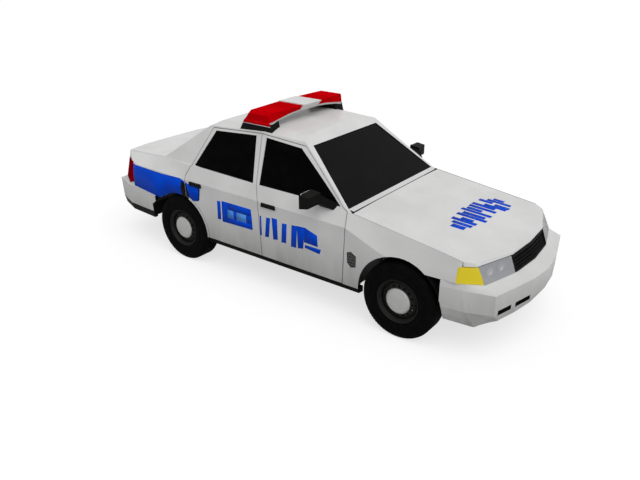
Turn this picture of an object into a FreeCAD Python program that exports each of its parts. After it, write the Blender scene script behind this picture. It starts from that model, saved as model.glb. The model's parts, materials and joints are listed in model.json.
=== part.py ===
"""Full-size four-door police patrol car, built as an assembly of separate pieces.

Millimetres. +X is forward, +Y is the car's left, +Z is up. The origin is on the ground under the
middle of the car. The body is a creased, flat-sided shape, so its skin is a few ruled lofts through
straight-sided sections, and each panel is cut from that skin along its real seams.
"""
import FreeCAD
import Part
import math
import os
from FreeCAD import Vector

# ---------------------------------------------------------------- driving dimensions
length = 5250.0            # bumper to bumper
wheelbase = 2910.0
front_overhang = 1063.0    # front axle to the bumper's front
half_width = 932.0         # widest crease of the body side
sill_z = 376.0             # bottom edge of the doors
sill_depth = 70.0          # sill below the doors
belt_height = 1158.0       # bottom of the side glass at the centre pillar
roof_height = 1654.0       # roof rail over the centre pillar
roof_crown = 52.0          # roof centre over its rails
deck_crown = 12.0          # hood and trunk centre over their edges

seam = 8.0                 # gap between a moving panel and its neighbour
lid_gap = 12.5             # gap at the hinged edges of the hood and the trunk lid
seal_gap = 8.0             # gap between a shut door and the seal flange behind it
fit_gap = 0.3              # gap between fixed pieces with curved faces
door_thickness = 105.0     # below the glass
frame_thickness = 34.0     # door frame beside the glass
flange_thickness = 6.0     # outer skin of a door, which overlaps its inner part all round
flange_width = 22.0
panel_thickness = 6.0      # fenders and quarter panels
lid_thickness = 10.0       # hood and trunk lid
pillar_thickness = 46.0
seal_ring_width = 45.0     # depth of the flange that a door shuts against
glass_thickness = 5.0
glass_depth = 12.0         # side glass below the skin

tyre_radius = 390.0
tyre_width = 235.0
rim_radius = 214.0
wheel_y = 812.0            # middle plane of a wheel
front_arch_gap = 58.0      # from the tread to the front wheel arch
rear_arch_gap = 32.0
rear_arch_shift = -22.0    # the rear arch is cut further back than its wheel
arch_lip = 30.0            # strip of quarter panel between the rear arch and the door
well_half = 505.0          # half the width between the wheel wells
liner_shell = 6.0
spindle_radius = 20.0
running_fit = 0.05
door_hinge_set_back = 74.0 # door hinge line behind the door's front edge
door_hinge_depth = 27.0    # door hinge line inside the widest crease
door_hinge_radius = 8.0
door_pin_radius = 5.0
door_hinge_leaf = 20.0     # height of each leaf of a door hinge
lid_hinge_set_back = 120.0 # hood and lid hinge lines from their hinged edges
lid_hinge_drop = 16.0      # and below the body's upper edge
lid_hinge_radius = 8.0
lid_pin_radius = 5.0
kingpin_y = 742.0
ball_joint_reach = 130.0   # ball joints above and below the wheel's centre

# ---------------------------------------------------------------- positions along the car
x_front = length / 2
x_rear = -length / 2
x_front_axle = x_front - front_overhang
x_rear_axle = x_front_axle - wheelbase
x_door_front = x_front_axle - 597.0     # front edge of the front door
x_centre_seam = x_rear_axle + 1204.0    # seam between the doors, at the crease
x_door_rear = x_rear_axle + 110.0       # rear edge of the rear door
x_glass_base = x_door_front - 36.0      # bottom edge of the windshield
x_hood_rear = x_glass_base + 66.0
x_roof_front = x_glass_base - 664.0
x_roof_rear = x_rear_axle + 298.0
x_backlight_base = x_rear_axle - 347.0
x_trunk_front = x_backlight_base - 30.0
x_tail = x_rear + 60.0                  # rear face of the body over the bumper
x_front_hinge = x_door_front - door_hinge_set_back
x_rear_hinge = x_centre_seam - door_hinge_set_back
y_door_hinge = half_width - door_hinge_depth
arch_radius = tyre_radius + front_arch_gap
rear_arch_radius = tyre_radius + rear_arch_gap
rear_arch_x = x_rear_axle + rear_arch_shift
door_hinge_heights = (belt_height - 532.0, belt_height - 252.0)

sill_bottom_z = sill_z - sill_depth
ring_bottom_z = sill_bottom_z + 10.0    # door-opening rings stop inside the sill

windshield_run = x_glass_base - x_roof_front
windshield_base_z = belt_height - 30.0
windshield_rise = roof_height - 18.0 - windshield_base_z
backlight_base_z = belt_height + 3.0
backlight_rise = roof_height - 48.0 - backlight_base_z

# Body sections from tail to nose. Each half width is half_width less its "in" column, and each
# height is belt_height plus its "up" column.
#  x, sill_in, crease_in, crease_up, belt_in, belt_up
BODY = [
    (x_rear - 40.0, 75.0, 75.0, -160.0, 225.0, -90.0),
    (x_rear_axle - 880.0, 36.0, 40.0, -147.0, 180.0, -48.0),
    (x_backlight_base, 18.0, 6.0, -140.0, 125.0, 0.0),
    (x_door_rear, 20.0, 1.0, -148.0, 70.0, 10.0),
    (x_centre_seam, 20.0, 0.0, -154.0, 57.0, 0.0),
    (x_door_front, 20.0, 0.0, -170.0, 82.0, -42.0),
    (x_front_axle - 199.0, 20.0, 0.0, -326.0, 78.0, -96.0),
    (x_front_axle + 358.0, 24.0, 2.0, -472.0, 70.0, -172.0),
    (x_front_axle + 658.0, 40.0, 18.0, -478.0, 62.0, -217.0),
    (x_front_axle + 1203.0, 60.0, 60.0, -484.0, 75.0, -293.0),
]
# Roof rail along the cabin: half width less half_width, height less roof_height.
#  x, rail_in, rail_down
ROOF = [
    (x_backlight_base - 120.0, 330.0, 118.0),
    (x_roof_rear + 10.0, 290.0, 52.0),
    (x_centre_seam - 116.0, 280.0, 0.0),
    (x_roof_front + 5.0, 297.0, 22.0),
    (x_door_front + 60.0, 335.0, 78.0),
]
# Plan outlines of the nose and tail, low and high: distance inside the front or rear face, half width.
NOSE_LOW_Z, NOSE_HIGH_Z = belt_height - 402.0, belt_height - 240.0
NOSE_LOW = [(138.0, 0.0), (166.0, 360.0), (286.0, half_width - 152.0), (502.0, half_width - 26.0),
            (820.0, half_width + 78.0)]
NOSE_HIGH = [(208.0, 0.0), (229.0, 370.0), (377.0, half_width - 132.0), (508.0, half_width - 46.0),
             (820.0, half_width + 58.0)]
TAIL_LOW_Z, TAIL_HIGH_Z = belt_height - 432.0, belt_height - 82.0
TAIL_LOW = [(65.0, 0.0), (70.0, 450.0), (90.0, half_width - 192.0), (325.0, half_width - 44.0),
            (800.0, half_width + 53.0)]
TAIL_HIGH = [(120.0, 0.0), (125.0, 450.0), (160.0, half_width - 232.0), (405.0, half_width - 72.0),
             (800.0, half_width + 53.0)]
# Bumper plan outlines, each at its height: distance inside the end face, half width.
front_bumper_top = NOSE_LOW_Z - 4.0
FRONT_BUMPER = [
    (front_bumper_top, [(136.0, 0.0), (160.0, 330.0), (223.0, 600.0), (286.0, half_width - 150.0),
                        (425.0, half_width - 60.0), (645.0, half_width - 17.0)]),
    (front_bumper_top - 58.0, [(0.0, 0.0), (30.0, 280.0), (90.0, 520.0), (167.0, half_width - 119.0),
                               (453.0, half_width - 43.0), (645.0, half_width - 10.0)]),
    (front_bumper_top - 264.0, [(10.0, 0.0), (40.0, 280.0), (98.0, 520.0), (170.0, half_width - 137.0),
                                (405.0, half_width - 52.0), (645.0, half_width - 14.0)]),
    (front_bumper_top - 341.0, [(55.0, 0.0), (62.0, 210.0), (105.0, 470.0), (165.0, half_width - 227.0),
                                (375.0, half_width - 94.0), (645.0, half_width - 27.0)]),
    (front_bumper_top - 436.0, [(120.0, 0.0), (125.0, 200.0), (165.0, 450.0), (230.0, half_width - 282.0),
                                (348.0, half_width - 142.0), (645.0, half_width - 64.0)]),
]
rear_bumper_top = belt_height - 418.0
REAR_BUMPER = [
    (rear_bumper_top, [(60.0, 0.0), (66.0, 450.0), (88.0, half_width - 197.0), (322.0, half_width - 48.0),
                       (838.0, half_width - 2.0)]),
    (rear_bumper_top - 14.0, [(0.0, 0.0), (6.0, 450.0), (34.0, half_width - 142.0),
                              (320.0, half_width - 35.0), (838.0, half_width + 2.0)]),
    (rear_bumper_top - 259.0, [(8.0, 0.0), (14.0, 450.0), (42.0, half_width - 154.0),
                               (330.0, half_width - 42.0), (838.0, half_width - 6.0)]),
    (rear_bumper_top - 342.0, [(26.0, 0.0), (32.0, 450.0), (62.0, half_width - 166.0),
                               (344.0, half_width - 56.0), (838.0, half_width - 16.0)]),
]
# Corners of the rear wheel arch behind its round part, from the axle: distance behind it, height over it.
REAR_ARCH_TAIL = [(500.0, -400.0), (500.0, -4.0), (508.0, 186.0), (307.0, 332.0), (14.0, 376.0)]


# ---------------------------------------------------------------- shape helpers
def plate(points, plane, low, high):
    """A straight-sided outline in the xz, xy or yz plane, extruded from low to high."""
    place = {
        "xz": lambda a, b: Vector(a, low, b),
        "xy": lambda a, b: Vector(a, b, low),
        "yz": lambda a, b: Vector(low, a, b),
    }[plane]
    along = {"xz": Vector(0, 1, 0), "xy": Vector(0, 0, 1), "yz": Vector(1, 0, 0)}[plane]
    corners = [place(a, b) for a, b in points]
    face = Part.Face(Part.makePolygon(corners + corners[:1]))
    return face.extrude(along * (high - low))


def block(x0, x1, y0, y1, z0, z1):
    return Part.makeBox(x1 - x0, y1 - y0, z1 - z0, Vector(x0, y0, z0))


def rod(radius, start, end):
    axis = end - start
    return Part.makeCylinder(radius, axis.Length, start, axis)


def cylinder_y(radius, x, z, y0, y1):
    return Part.makeCylinder(radius, y1 - y0, Vector(x, y0, z), Vector(0, 1, 0))


def loft(sections):
    """A ruled solid through closed sections with as many corners each."""
    wires = [Part.makePolygon(corners + corners[:1]) for corners in sections]
    return Part.makeLoft(wires, True, True)


def grown(points, distance):
    """An outline's corners moved out by distance, or in where it is negative, with mitred corners."""
    area = sum(a[0] * b[1] - b[0] * a[1] for a, b in zip(points, points[1:] + points[:1]))
    side = 1.0 if area > 0 else -1.0
    moved = []
    for before, here, after in zip(points[-1:] + points[:-1], points, points[1:] + points[:1]):
        normals = []
        for start, end in ((before, here), (here, after)):
            run, rise = end[0] - start[0], end[1] - start[1]
            size = math.hypot(run, rise)
            normals.append((side * rise / size, -side * run / size))
        (ax, ay), (bx, by) = normals
        reach = distance / (1.0 + ax * bx + ay * by)
        moved.append((here[0] + (ax + bx) * reach, here[1] + (ay + by) * reach))
    return moved


def folded_sheet(points, thickness, y0, y1):
    """A sheet bent along a line of points in the xz plane, as thick below that line."""
    below = []
    for i, here in enumerate(points):
        before = points[max(i - 1, 0)]
        after = points[min(i + 1, len(points) - 1)]
        normals = []
        for start, end in ((before, here), (here, after)):
            run, rise = end[0] - start[0], end[1] - start[1]
            size = math.hypot(run, rise)
            if size:
                normals.append((-rise / size, run / size))
        ax, ay = normals[0]
        bx, by = normals[-1]
        reach = thickness / (1.0 + ax * bx + ay * by)
        below.append((here[0] + (ax + bx) * reach, here[1] + (ay + by) * reach))
    return plate(points + below[::-1], "xz", y0, y1)


def mirrored(shape):
    return shape.mirror(Vector(0, 0, 0), Vector(0, 1, 0))


def both(shape):
    return Part.makeCompound([shape, mirrored(shape)])


def fused(shapes):
    return shapes[0].fuse(shapes[1:]).removeSplitter()


def largest(shape):
    return max(shape.Solids, key=lambda solid: solid.Volume)


def interpolated(table, x, column):
    for low, high in zip(table, table[1:]):
        if low[0] <= x <= high[0]:
            share = (x - low[0]) / (high[0] - low[0])
            return low[column] + share * (high[column] - low[column])
    return table[0][column] if x < table[0][0] else table[-1][column]


# ---------------------------------------------------------------- the body's skin
FAR = 4000.0
OPEN_UNDER = 90.0          # how far inner shapes run out of the open underside


def belt_half(x):
    return half_width - interpolated(BODY, x, 4)


def belt_z(x):
    return belt_height + interpolated(BODY, x, 5)


def crease_z(x):
    return belt_height + interpolated(BODY, x, 3)


def hull(inset=0.0, roofless=False, top_inset=None):
    """The body below the glass, its walls moved in by inset. Roofless leaves the top open."""
    top_drop = inset if top_inset is None else top_inset
    bottom = sill_z - (OPEN_UNDER if inset else 0.0)
    sections = []
    for x, sill_in, crease_in, crease_up, belt_in, belt_up in BODY:
        edge = (half_width - belt_in - inset, belt_height + belt_up - (0.0 if roofless else top_drop))
        half = [
            (half_width - sill_in - inset, bottom),
            (half_width - crease_in - inset, belt_height + crease_up - (0.0 if roofless else top_drop / 2)),
            edge,
        ]
        if roofless:
            half.append((edge[0], edge[1] + 600.0))
        else:
            half.append((edge[0] * 0.5, edge[1] + deck_crown * 0.75))
        right = [Vector(x, -y, z) for y, z in half]
        left = [Vector(x, y, z) for y, z in half[::-1]]
        sections.append(right + left)
    return loft(sections)


def plan_solid(low_z, low, high_z, high, x_end, direction, inset, z0, z1):
    """The space inside a nose or tail whose plan outline changes evenly with height."""
    sections = []
    for z in (z0, z1):
        share = (z - low_z) / (high_z - low_z)
        half = []
        for (in_a, y_a), (in_b, y_b) in zip(low, high):
            depth = in_a + share * (in_b - in_a) + inset
            y = y_a + share * (y_b - y_a) - inset * (y_a > 500.0)
            half.append((x_end - direction * depth, max(y, 0.0)))
        half.append((x_end - direction * FAR, half[-1][1]))
        right = [Vector(x, -y, z) for x, y in half if y > 0.0]
        left = [Vector(x, y, z) for x, y in half[::-1] if y > 0.0]
        sections.append(right + left + [Vector(half[0][0], 0.0, z)])
    return loft(sections)


def nose_space(inset=0.0):
    return plan_solid(NOSE_LOW_Z, NOSE_LOW, NOSE_HIGH_Z, NOSE_HIGH, x_front, 1.0, inset, 250.0, 1300.0)


def tail_space(inset=0.0):
    return plan_solid(TAIL_LOW_Z, TAIL_LOW, TAIL_HIGH_Z, TAIL_HIGH, x_rear, -1.0, inset, 250.0, 1300.0)


GLASS_SINK = 8.0           # the glasshouse starts this far inside the body below it


def glasshouse_profile(inset=0.0):
    """Side view of the cabin over the belt, its sloping ends moved in by inset."""
    front_size = math.hypot(windshield_run, windshield_rise)
    rear_run = x_roof_rear - x_backlight_base
    rear_size = math.hypot(rear_run, backlight_rise)
    front_shift = inset * front_size / windshield_rise
    rear_shift = inset * rear_size / backlight_rise

    def front_x(z):
        return x_glass_base - (z - windshield_base_z) * windshield_run / windshield_rise - front_shift

    def rear_x(z):
        return x_backlight_base + (z - backlight_base_z) * rear_run / backlight_rise + rear_shift

    low, high = belt_height - 120.0, roof_height + 200.0
    return [(front_x(low), low), (front_x(high), high), (rear_x(high), high), (rear_x(low), low)]


def glasshouse(inset=0.0, sink=GLASS_SINK):
    """The cabin over the belt, its walls moved in by inset."""
    sections = []
    for x, rail_in, rail_down in ROOF:
        rail = half_width - rail_in - inset
        rail_z = roof_height - rail_down - inset
        half = [
            (belt_half(x) - inset - sink / 2, belt_z(x) - sink),
            (belt_half(x) - inset, belt_z(x)),
            (rail, rail_z),
            (rail - 130.0, rail_z + roof_crown * 0.7),
        ]
        right = [Vector(x, -y, z) for y, z in half]
        left = [Vector(x, y, z) for y, z in half[::-1]]
        sections.append(right + [Vector(x, 0.0, rail_z + roof_crown)] + left)
    return loft(sections).common(plate(glasshouse_profile(inset), "xz", -FAR, FAR))


def cabin_sides(inset, low=-2 * GLASS_SINK):
    """The space between the cabin's side walls moved in by inset, from low over the belt up."""
    sections = []
    for x, rail_in, rail_down in ROOF:
        rail = half_width - rail_in
        rail_z = roof_height - rail_down
        foot = belt_half(x) - (belt_half(x) - rail) * low / (rail_z - belt_z(x))
        half = [(foot - inset, belt_z(x) + low), (rail - inset, rail_z), (rail - inset, roof_height + 300.0)]
        sections.append([Vector(x, -y, z) for y, z in half] + [Vector(x, y, z) for y, z in half[::-1]])
    return loft(sections)


def rear_arch_space(grow, y0, y1):
    """The rear wheel arch: round over the tyre, with a straight-sided part behind it."""
    corners = [(x_rear_axle - back, tyre_radius + up) for back, up in REAR_ARCH_TAIL]
    corners.append((x_rear_axle, tyre_radius - 400.0))
    below = block(rear_arch_x - rear_arch_radius - grow, rear_arch_x + rear_arch_radius + grow, y0, y1, 0.0,
                  tyre_radius)
    return cylinder_y(rear_arch_radius + grow, rear_arch_x, tyre_radius, y0, y1).fuse(
        [plate(grown(corners, grow), "xz", y0, y1), below])


skin = hull()
skin_inner = hull(panel_thickness)
cabin = glasshouse()
cabin_inner = glasshouse(pillar_thickness, 60.0)
rear_arch = rear_arch_space(0.0, -FAR, FAR)

# ---------------------------------------------------------------- door outlines in side view
front_door_outline = [
    (x_door_front - 38.0, sill_z),
    (x_door_front, crease_z(x_door_front)),
    (x_door_front - 34.0, belt_z(x_door_front) + 3.0),
    (x_glass_base - 46.0, belt_height - 20.0),
    (x_roof_front + 20.0, roof_height - 56.0),
    (x_centre_seam - 141.0, roof_height - 17.0),
    (x_centre_seam - 56.0, belt_height - 2.0),
    (x_centre_seam, crease_z(x_centre_seam)),
    (x_centre_seam + 22.0, sill_z),
]
rear_door_outline = [
    (x_centre_seam + 22.0, sill_z),
    (x_centre_seam, crease_z(x_centre_seam)),
    (x_centre_seam - 56.0, belt_height - 2.0),
    (x_centre_seam - 141.0, roof_height - 17.0),
    (x_roof_rear + 50.0, roof_height - 66.0),
    (x_door_rear, crease_z(x_door_rear) + 50.0),
    (x_door_rear, sill_z),
]
front_window = [
    (x_centre_seam - 20.0, belt_height - 1.0),
    (x_centre_seam - 73.0, roof_height - 46.0),
    (x_roof_front - 22.0, roof_height - 82.0),
    (x_door_front - 112.0, belt_height - 14.0),
]
rear_window_side = [
    (x_rear_axle + 205.0, belt_height + 17.0),
    (x_roof_rear + 100.0, roof_height - 90.0),
    (x_centre_seam - 210.0, roof_height - 46.0),
    (x_centre_seam - 102.0, belt_height + 2.0),
]


def side_space(outline, grow=0.0):
    """The space a door takes on the left side, from its outline in side view grown by a gap."""
    return plate(grown(outline, grow), "xz", 350.0, 1200.0)


def rear_door_space(grow=0.0):
    radius = rear_arch_radius + arch_lip - grow
    arch = cylinder_y(radius, rear_arch_x, tyre_radius, 300.0, 1250.0)
    return side_space(rear_door_outline, grow).cut(arch)


def front_door_space(grow=0.0):
    return side_space(front_door_outline, grow)


# ---------------------------------------------------------------- doors
lower_flange = skin.cut(hull(flange_thickness, roofless=True))
lower_inner = hull(flange_thickness, roofless=True, top_inset=0.0).common(skin).cut(
    hull(door_thickness, roofless=True))
upper_flange = cabin.cut(cabin_sides(flange_thickness))
upper_inner = cabin.common(cabin_sides(flange_thickness)).cut(cabin_sides(frame_thickness))


def hinge_leaf(x_hinge, y_inner, z):
    """One leaf of a door hinge: a bar out to the hinge line, with a round eye on that line."""
    bar = block(x_hinge - door_hinge_radius, x_hinge + door_hinge_radius, y_inner, y_door_hinge,
                z, z + door_hinge_leaf)
    eye = Part.makeCylinder(door_hinge_radius, door_hinge_leaf, Vector(x_hinge, y_door_hinge, z))
    return bar.fuse(eye)


def body_hinges(x_hinge):
    """The fixed leaves of a left door's hinges, each with its pin standing up."""
    leaves = []
    for z in door_hinge_heights:
        leaves.append(hinge_leaf(x_hinge, half_width - door_thickness - seal_gap - 24.0, z))
        foot = Vector(x_hinge, y_door_hinge, z)
        leaves.append(Part.makeCylinder(door_pin_radius, 2 * door_hinge_leaf, foot))
    return leaves


def door_hinges(x_hinge):
    """The moving leaves of a left door's hinges, which run back into the door."""
    leaves = []
    for z in door_hinge_heights:
        low = z + door_hinge_leaf + fit_gap
        eye = Part.makeCylinder(door_hinge_radius, door_hinge_leaf, Vector(x_hinge, y_door_hinge, low))
        y_in = y_door_hinge - door_hinge_radius
        bar = block(x_hinge - 60.0, x_hinge, y_in, y_in + 2 * door_hinge_radius - 2.0,
                    low, low + door_hinge_leaf)
        leaves.append(eye.fuse(bar))
    return leaves


def hinge_bores(x_hinge):
    radius = door_pin_radius + running_fit
    feet = [Vector(x_hinge, y_door_hinge, z) for z in door_hinge_heights]
    return [Part.makeCylinder(radius, 3 * door_hinge_leaf, foot) for foot in feet]


def door(space, window, x_hinge):
    """One left door: a skin flange all round, and a thicker inner part behind its hinge line."""
    behind_hinge = block(-FAR, x_hinge - 26.0, 0.0, FAR, 0.0, FAR)
    outer = [layer.common(space(-seam / 2)) for layer in (lower_flange, upper_flange)]
    inner_space = space(-seam / 2 - flange_width)
    inner = [lower_inner.common(inner_space).common(behind_hinge), upper_inner.common(inner_space)]
    frame_inner = upper_inner.common(space(-seam / 2 - 8.0))
    frame_inner = frame_inner.cut(plate(grown(window, -14.0), "xz", 300.0, 1200.0))
    whole = fused(outer + inner + [frame_inner]).cut(plate(window, "xz", 300.0, 1200.0))
    return fused([whole] + door_hinges(x_hinge)).cut(Part.makeCompound(hinge_bores(x_hinge)))


def side_glass(window):
    pane = cabin_sides(glass_depth).cut(cabin_sides(glass_depth + glass_thickness))
    return pane.common(plate(window, "xz", 300.0, 1200.0))


def door_handle(x, z):
    """A pull handle that stands off the door's crease."""
    return plate([(x - 95.0, z - 22.0), (x + 95.0, z - 22.0), (x + 88.0, z + 20.0), (x - 88.0, z + 20.0)],
                 "xz", half_width - 60.0, half_width + 14.0)


front_door = door(front_door_space, front_window, x_front_hinge)
rear_door = door(rear_door_space, rear_window_side, x_rear_hinge)

handle_z = belt_height - 176.0
front_door = fused([front_door, door_handle(x_centre_seam + 150.0, handle_z)])
rear_door = fused([rear_door, door_handle(x_door_rear + 170.0, handle_z + 4.0)])


def mirror():
    """A left door mirror: a square housing on a tapered arm that stands on the door's shoulder."""
    x0, z0 = x_door_front - 395.0, belt_height - 12.0
    housing_out = half_width + 198.0
    housing_in = half_width + 12.0
    rear = [Vector(x0, housing_in, z0 + 18.0), Vector(x0, housing_out, z0),
            Vector(x0, housing_out, z0 + 138.0), Vector(x0, housing_in, z0 + 150.0)]
    front = [Vector(x0 + 118.0, housing_in, z0 + 30.0), Vector(x0 + 96.0, housing_out - 12.0, z0 + 16.0),
             Vector(x0 + 96.0, housing_out - 12.0, z0 + 128.0), Vector(x0 + 118.0, housing_in, z0 + 136.0)]
    foot_y = belt_half(x0) - 20.0
    arm_low = [Vector(x0 + 60.0, foot_y, z0 - 60.0), Vector(x0 + 250.0, foot_y - 8.0, z0 - 70.0),
               Vector(x0 + 250.0, foot_y - 8.0, z0 + 22.0), Vector(x0 + 60.0, foot_y, z0 + 60.0)]
    arm_corners = [(40.0, 34.0), (108.0, 36.0), (108.0, 124.0), (40.0, 130.0)]
    arm_high = [Vector(x0 + x, housing_in + 20.0, z0 + z) for x, z in arm_corners]
    whole = fused([loft([rear, front]), loft([arm_low, arm_high])])
    glass_recess = block(x0 - 1.0, x0 + 10.0, housing_in + 14.0, housing_out - 14.0, z0 + 22.0, z0 + 126.0)
    return whole.cut(glass_recess)


left_mirror = mirror().cut(front_door)
left_mirror = largest(left_mirror)

# ---------------------------------------------------------------- cabin frame
door_spaces = [front_door_space(seam / 2), rear_door_space(seam / 2)]
left_half = block(-FAR, FAR, 0.0, FAR, -FAR, FAR)

roof_split = half_width - 372.0         # the roof panel's edge on the rails
roof_zone = plate([(x_backlight_base - 60.0, 0.0), (x_backlight_base - 60.0, roof_split + 8.0),
                   (x_roof_rear - 10.0, roof_split + 8.0), (x_glass_base, roof_split + 8.0),
                   (x_glass_base, -roof_split - 8.0), (x_backlight_base - 60.0, -roof_split - 8.0)],
                  "xy", belt_height + 240.0, FAR)
windshield_opening = plate([(-(half_width - 116.0), windshield_base_z),
                            (half_width - 116.0, windshield_base_z),
                            (half_width - 356.0, roof_height - 60.0),
                            (-(half_width - 356.0), roof_height - 60.0)],
                           "yz", x_roof_front - 60.0, x_front)
backlight_opening = plate([(-(half_width - 222.0), backlight_base_z + 30.0),
                           (half_width - 222.0, backlight_base_z + 30.0),
                           (half_width - 372.0, roof_height - 88.0),
                           (-(half_width - 372.0), roof_height - 88.0)],
                          "yz", x_rear, x_roof_rear + 60.0)
x_shelf_rear = x_trunk_front + lid_gap
cabin_shell = cabin.cut(cabin_inner).cut(windshield_opening).cut(backlight_opening)
cabin_shell = cabin_shell.cut(block(x_rear, x_shelf_rear, -FAR, FAR, 0.0, backlight_base_z))
roof_panel = cabin_shell.common(roof_zone)

seal_ring_low = hull(door_thickness + seal_gap, roofless=True, top_inset=0.0).common(
    hull(0.0)).cut(hull(door_thickness + seal_gap + seal_ring_width, roofless=True))
seal_ring_high = cabin.common(cabin_sides(frame_thickness + seal_gap, seal_gap)).cut(
    cabin_sides(frame_thickness + seal_gap + 40.0))
aperture_reach = plate(
    [(x_door_front + 62.0, ring_bottom_z), (x_door_front + 62.0, belt_height - 190.0),
     (x_door_front + 14.0, belt_height - 180.0), (x_door_front + 14.0, belt_z(x_door_front) - 10.0),
     (x_glass_base - 10.0, belt_height + 10.0), (x_roof_front + 40.0, roof_height + 40.0),
     (x_roof_rear - 60.0, roof_height + 40.0), (x_door_rear - 120.0, belt_height + 10.0),
     (x_door_rear - 120.0, ring_bottom_z)], "xz", 300.0, 1200.0)
aperture_holes = [
    plate(grown(front_door_outline, -30.0), "xz", 250.0, 1250.0).common(
        block(-FAR, x_front_hinge - 36.0, 0.0, FAR, 0.0, FAR)),
    plate(grown(rear_door_outline, -30.0), "xz", 250.0, 1250.0).cut(
        cylinder_y(rear_arch_radius + 90.0, rear_arch_x, tyre_radius, 240.0, 1260.0)),
]
pillar_fill = plate([(x_centre_seam + 66.0, ring_bottom_z), (x_centre_seam + 46.0, crease_z(x_centre_seam)),
                     (x_centre_seam - 14.0, belt_height), (x_centre_seam - 100.0, roof_height + 20.0),
                     (x_centre_seam - 182.0, roof_height + 20.0), (x_centre_seam - 112.0, belt_height),
                     (x_rear_hinge - 36.0, crease_z(x_centre_seam)), (x_rear_hinge - 36.0, ring_bottom_z)],
                    "xz", 300.0, 1200.0)
ring_space = aperture_reach.cut(aperture_holes[0]).cut(aperture_holes[1]).fuse(pillar_fill)
well_cut = rear_arch_space(20.0, 200.0, 1300.0)
rocker_inner_y = half_width - door_thickness - 19.0
floor_half = half_width - 245.0
inner_sill = block(x_door_rear + 260.0, x_door_front + 40.0, floor_half, rocker_inner_y,
                   sill_bottom_z, sill_z + 62.0)
rocker = plate([(rocker_inner_y, sill_bottom_z), (half_width - 96.0, sill_bottom_z + 2.0),
                (half_width - 50.0, sill_bottom_z + 8.0), (half_width - 30.0, sill_z - seam),
                (rocker_inner_y, sill_z - seam)], "yz",
               rear_arch_x + rear_arch_radius + 6.0, x_front_axle - arch_radius - 6.0)
hinge_pillar = block(x_door_front + 10.0, x_door_front + 62.0, half_width - door_thickness - 75.0,
                     half_width - door_thickness - seal_gap + 1.0,
                     ring_bottom_z, belt_height - 190.0)

# Cowl between the windshield and the hood, narrower beside the doors.
cowl_low_z = belt_z(x_hood_rear) - 46.0
cowl_points = [
    (x_glass_base + 10.0, windshield_base_z - 22.0), (x_glass_base + 2.0, windshield_base_z - 2.0),
    (x_hood_rear - lid_gap, belt_z(x_hood_rear) + deck_crown - 4.0), (x_hood_rear - lid_gap, cowl_low_z),
    (x_glass_base - 60.0, cowl_low_z), (x_glass_base - 60.0, windshield_base_z - 22.0),
]
cowl_half = half_width - door_thickness - 16.0
cowl_plan = [(x_glass_base - 60.0, cowl_half - 90.0), (x_glass_base - 40.0, cowl_half - 90.0),
             (x_glass_base - 26.0, cowl_half), (x_hood_rear, cowl_half)]
cowl = plate(cowl_points, "xz", -cowl_half, cowl_half).common(
    plate(cowl_plan + [(x, -y) for x, y in cowl_plan[::-1]], "xy", 0.0, FAR))

body_side = fused([
    cabin_shell.cut(roof_zone).cut(door_spaces[0]).cut(door_spaces[1]).common(left_half),
    seal_ring_low.common(ring_space).cut(well_cut),
    seal_ring_high.common(ring_space).cut(windshield_opening).cut(backlight_opening).cut(roof_zone),
    inner_sill.cut(well_cut),
    rocker,
    hinge_pillar,
    block(x_centre_seam - 88.0, x_centre_seam - 40.0, half_width - 232.0, half_width - door_thickness - 1.0,
          belt_height - 60.0, belt_height + 14.0),
] + body_hinges(x_front_hinge) + body_hinges(x_rear_hinge)).cut(cowl)
body_side = largest(body_side)

# ---------------------------------------------------------------- fixed glass


def sloping_pane(opening):
    outer = glasshouse(9.0, 60.0)
    inner = glasshouse(9.0 + glass_thickness, 120.0)
    return outer.cut(inner).common(opening)


windshield = sloping_pane(windshield_opening)
backlight = sloping_pane(backlight_opening)

# ---------------------------------------------------------------- hood, fenders, nose
nose = nose_space()
fender_front_z = belt_height - 404.0


def hood_plan(grow=0.0):
    """The hood's outline from above, with each side along the body's upper edge."""
    xs = [x_hood_rear - seam / 2] + [x_front_axle + ahead for ahead in (-199.0, 358.0, 658.0, 1193.0)]
    edge = [(x, belt_half(x) - 8.0) for x in xs]
    return grown([(x, y) for x, y in edge] + [(x, -y) for x, y in edge[::-1]], grow)


top_wall = skin.common(nose).cut(hull(lid_thickness).common(nose_space(lid_thickness * 1.3)))
above_lamps = block(x_hood_rear, x_front, -FAR, FAR, NOSE_HIGH_Z - 8.0, FAR)
hood = top_wall.common(plate(hood_plan(-seam / 2), "xy", 0.0, FAR)).common(above_lamps)
hood = hood.common(block(x_hood_rear, x_front, -FAR, FAR, 0.0, FAR))


def lid_hinge(x_hinge, z_hinge, y, post_drop, arm_end_x):
    """A hood or trunk hinge: the lid's eye, the fixed post with its pin, and the pin's bore."""
    leaf = 20.0
    reach = lid_hinge_radius
    arm_x = sorted([arm_end_x, x_hinge - reach if arm_end_x > x_hinge else x_hinge + reach])
    eye = cylinder_y(reach, x_hinge, z_hinge, y - leaf, y)
    web = block(x_hinge - reach, x_hinge + reach, y - leaf, y, z_hinge, z_hinge + 0.75 * lid_hinge_drop)
    post = cylinder_y(reach, x_hinge, z_hinge, y + fit_gap, y + leaf).fuse([
        block(x_hinge - reach, x_hinge + reach, y + fit_gap, y + leaf, z_hinge - post_drop, z_hinge),
        block(arm_x[0], arm_x[1], y + fit_gap, y + leaf, z_hinge - post_drop, z_hinge - post_drop + 26.0),
        cylinder_y(lid_pin_radius, x_hinge, z_hinge, y - leaf - 4.0, y + leaf),
    ])
    bore = cylinder_y(lid_pin_radius + running_fit, x_hinge, z_hinge, y - 2 * leaf, y)
    return eye.fuse(web), post, bore


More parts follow.
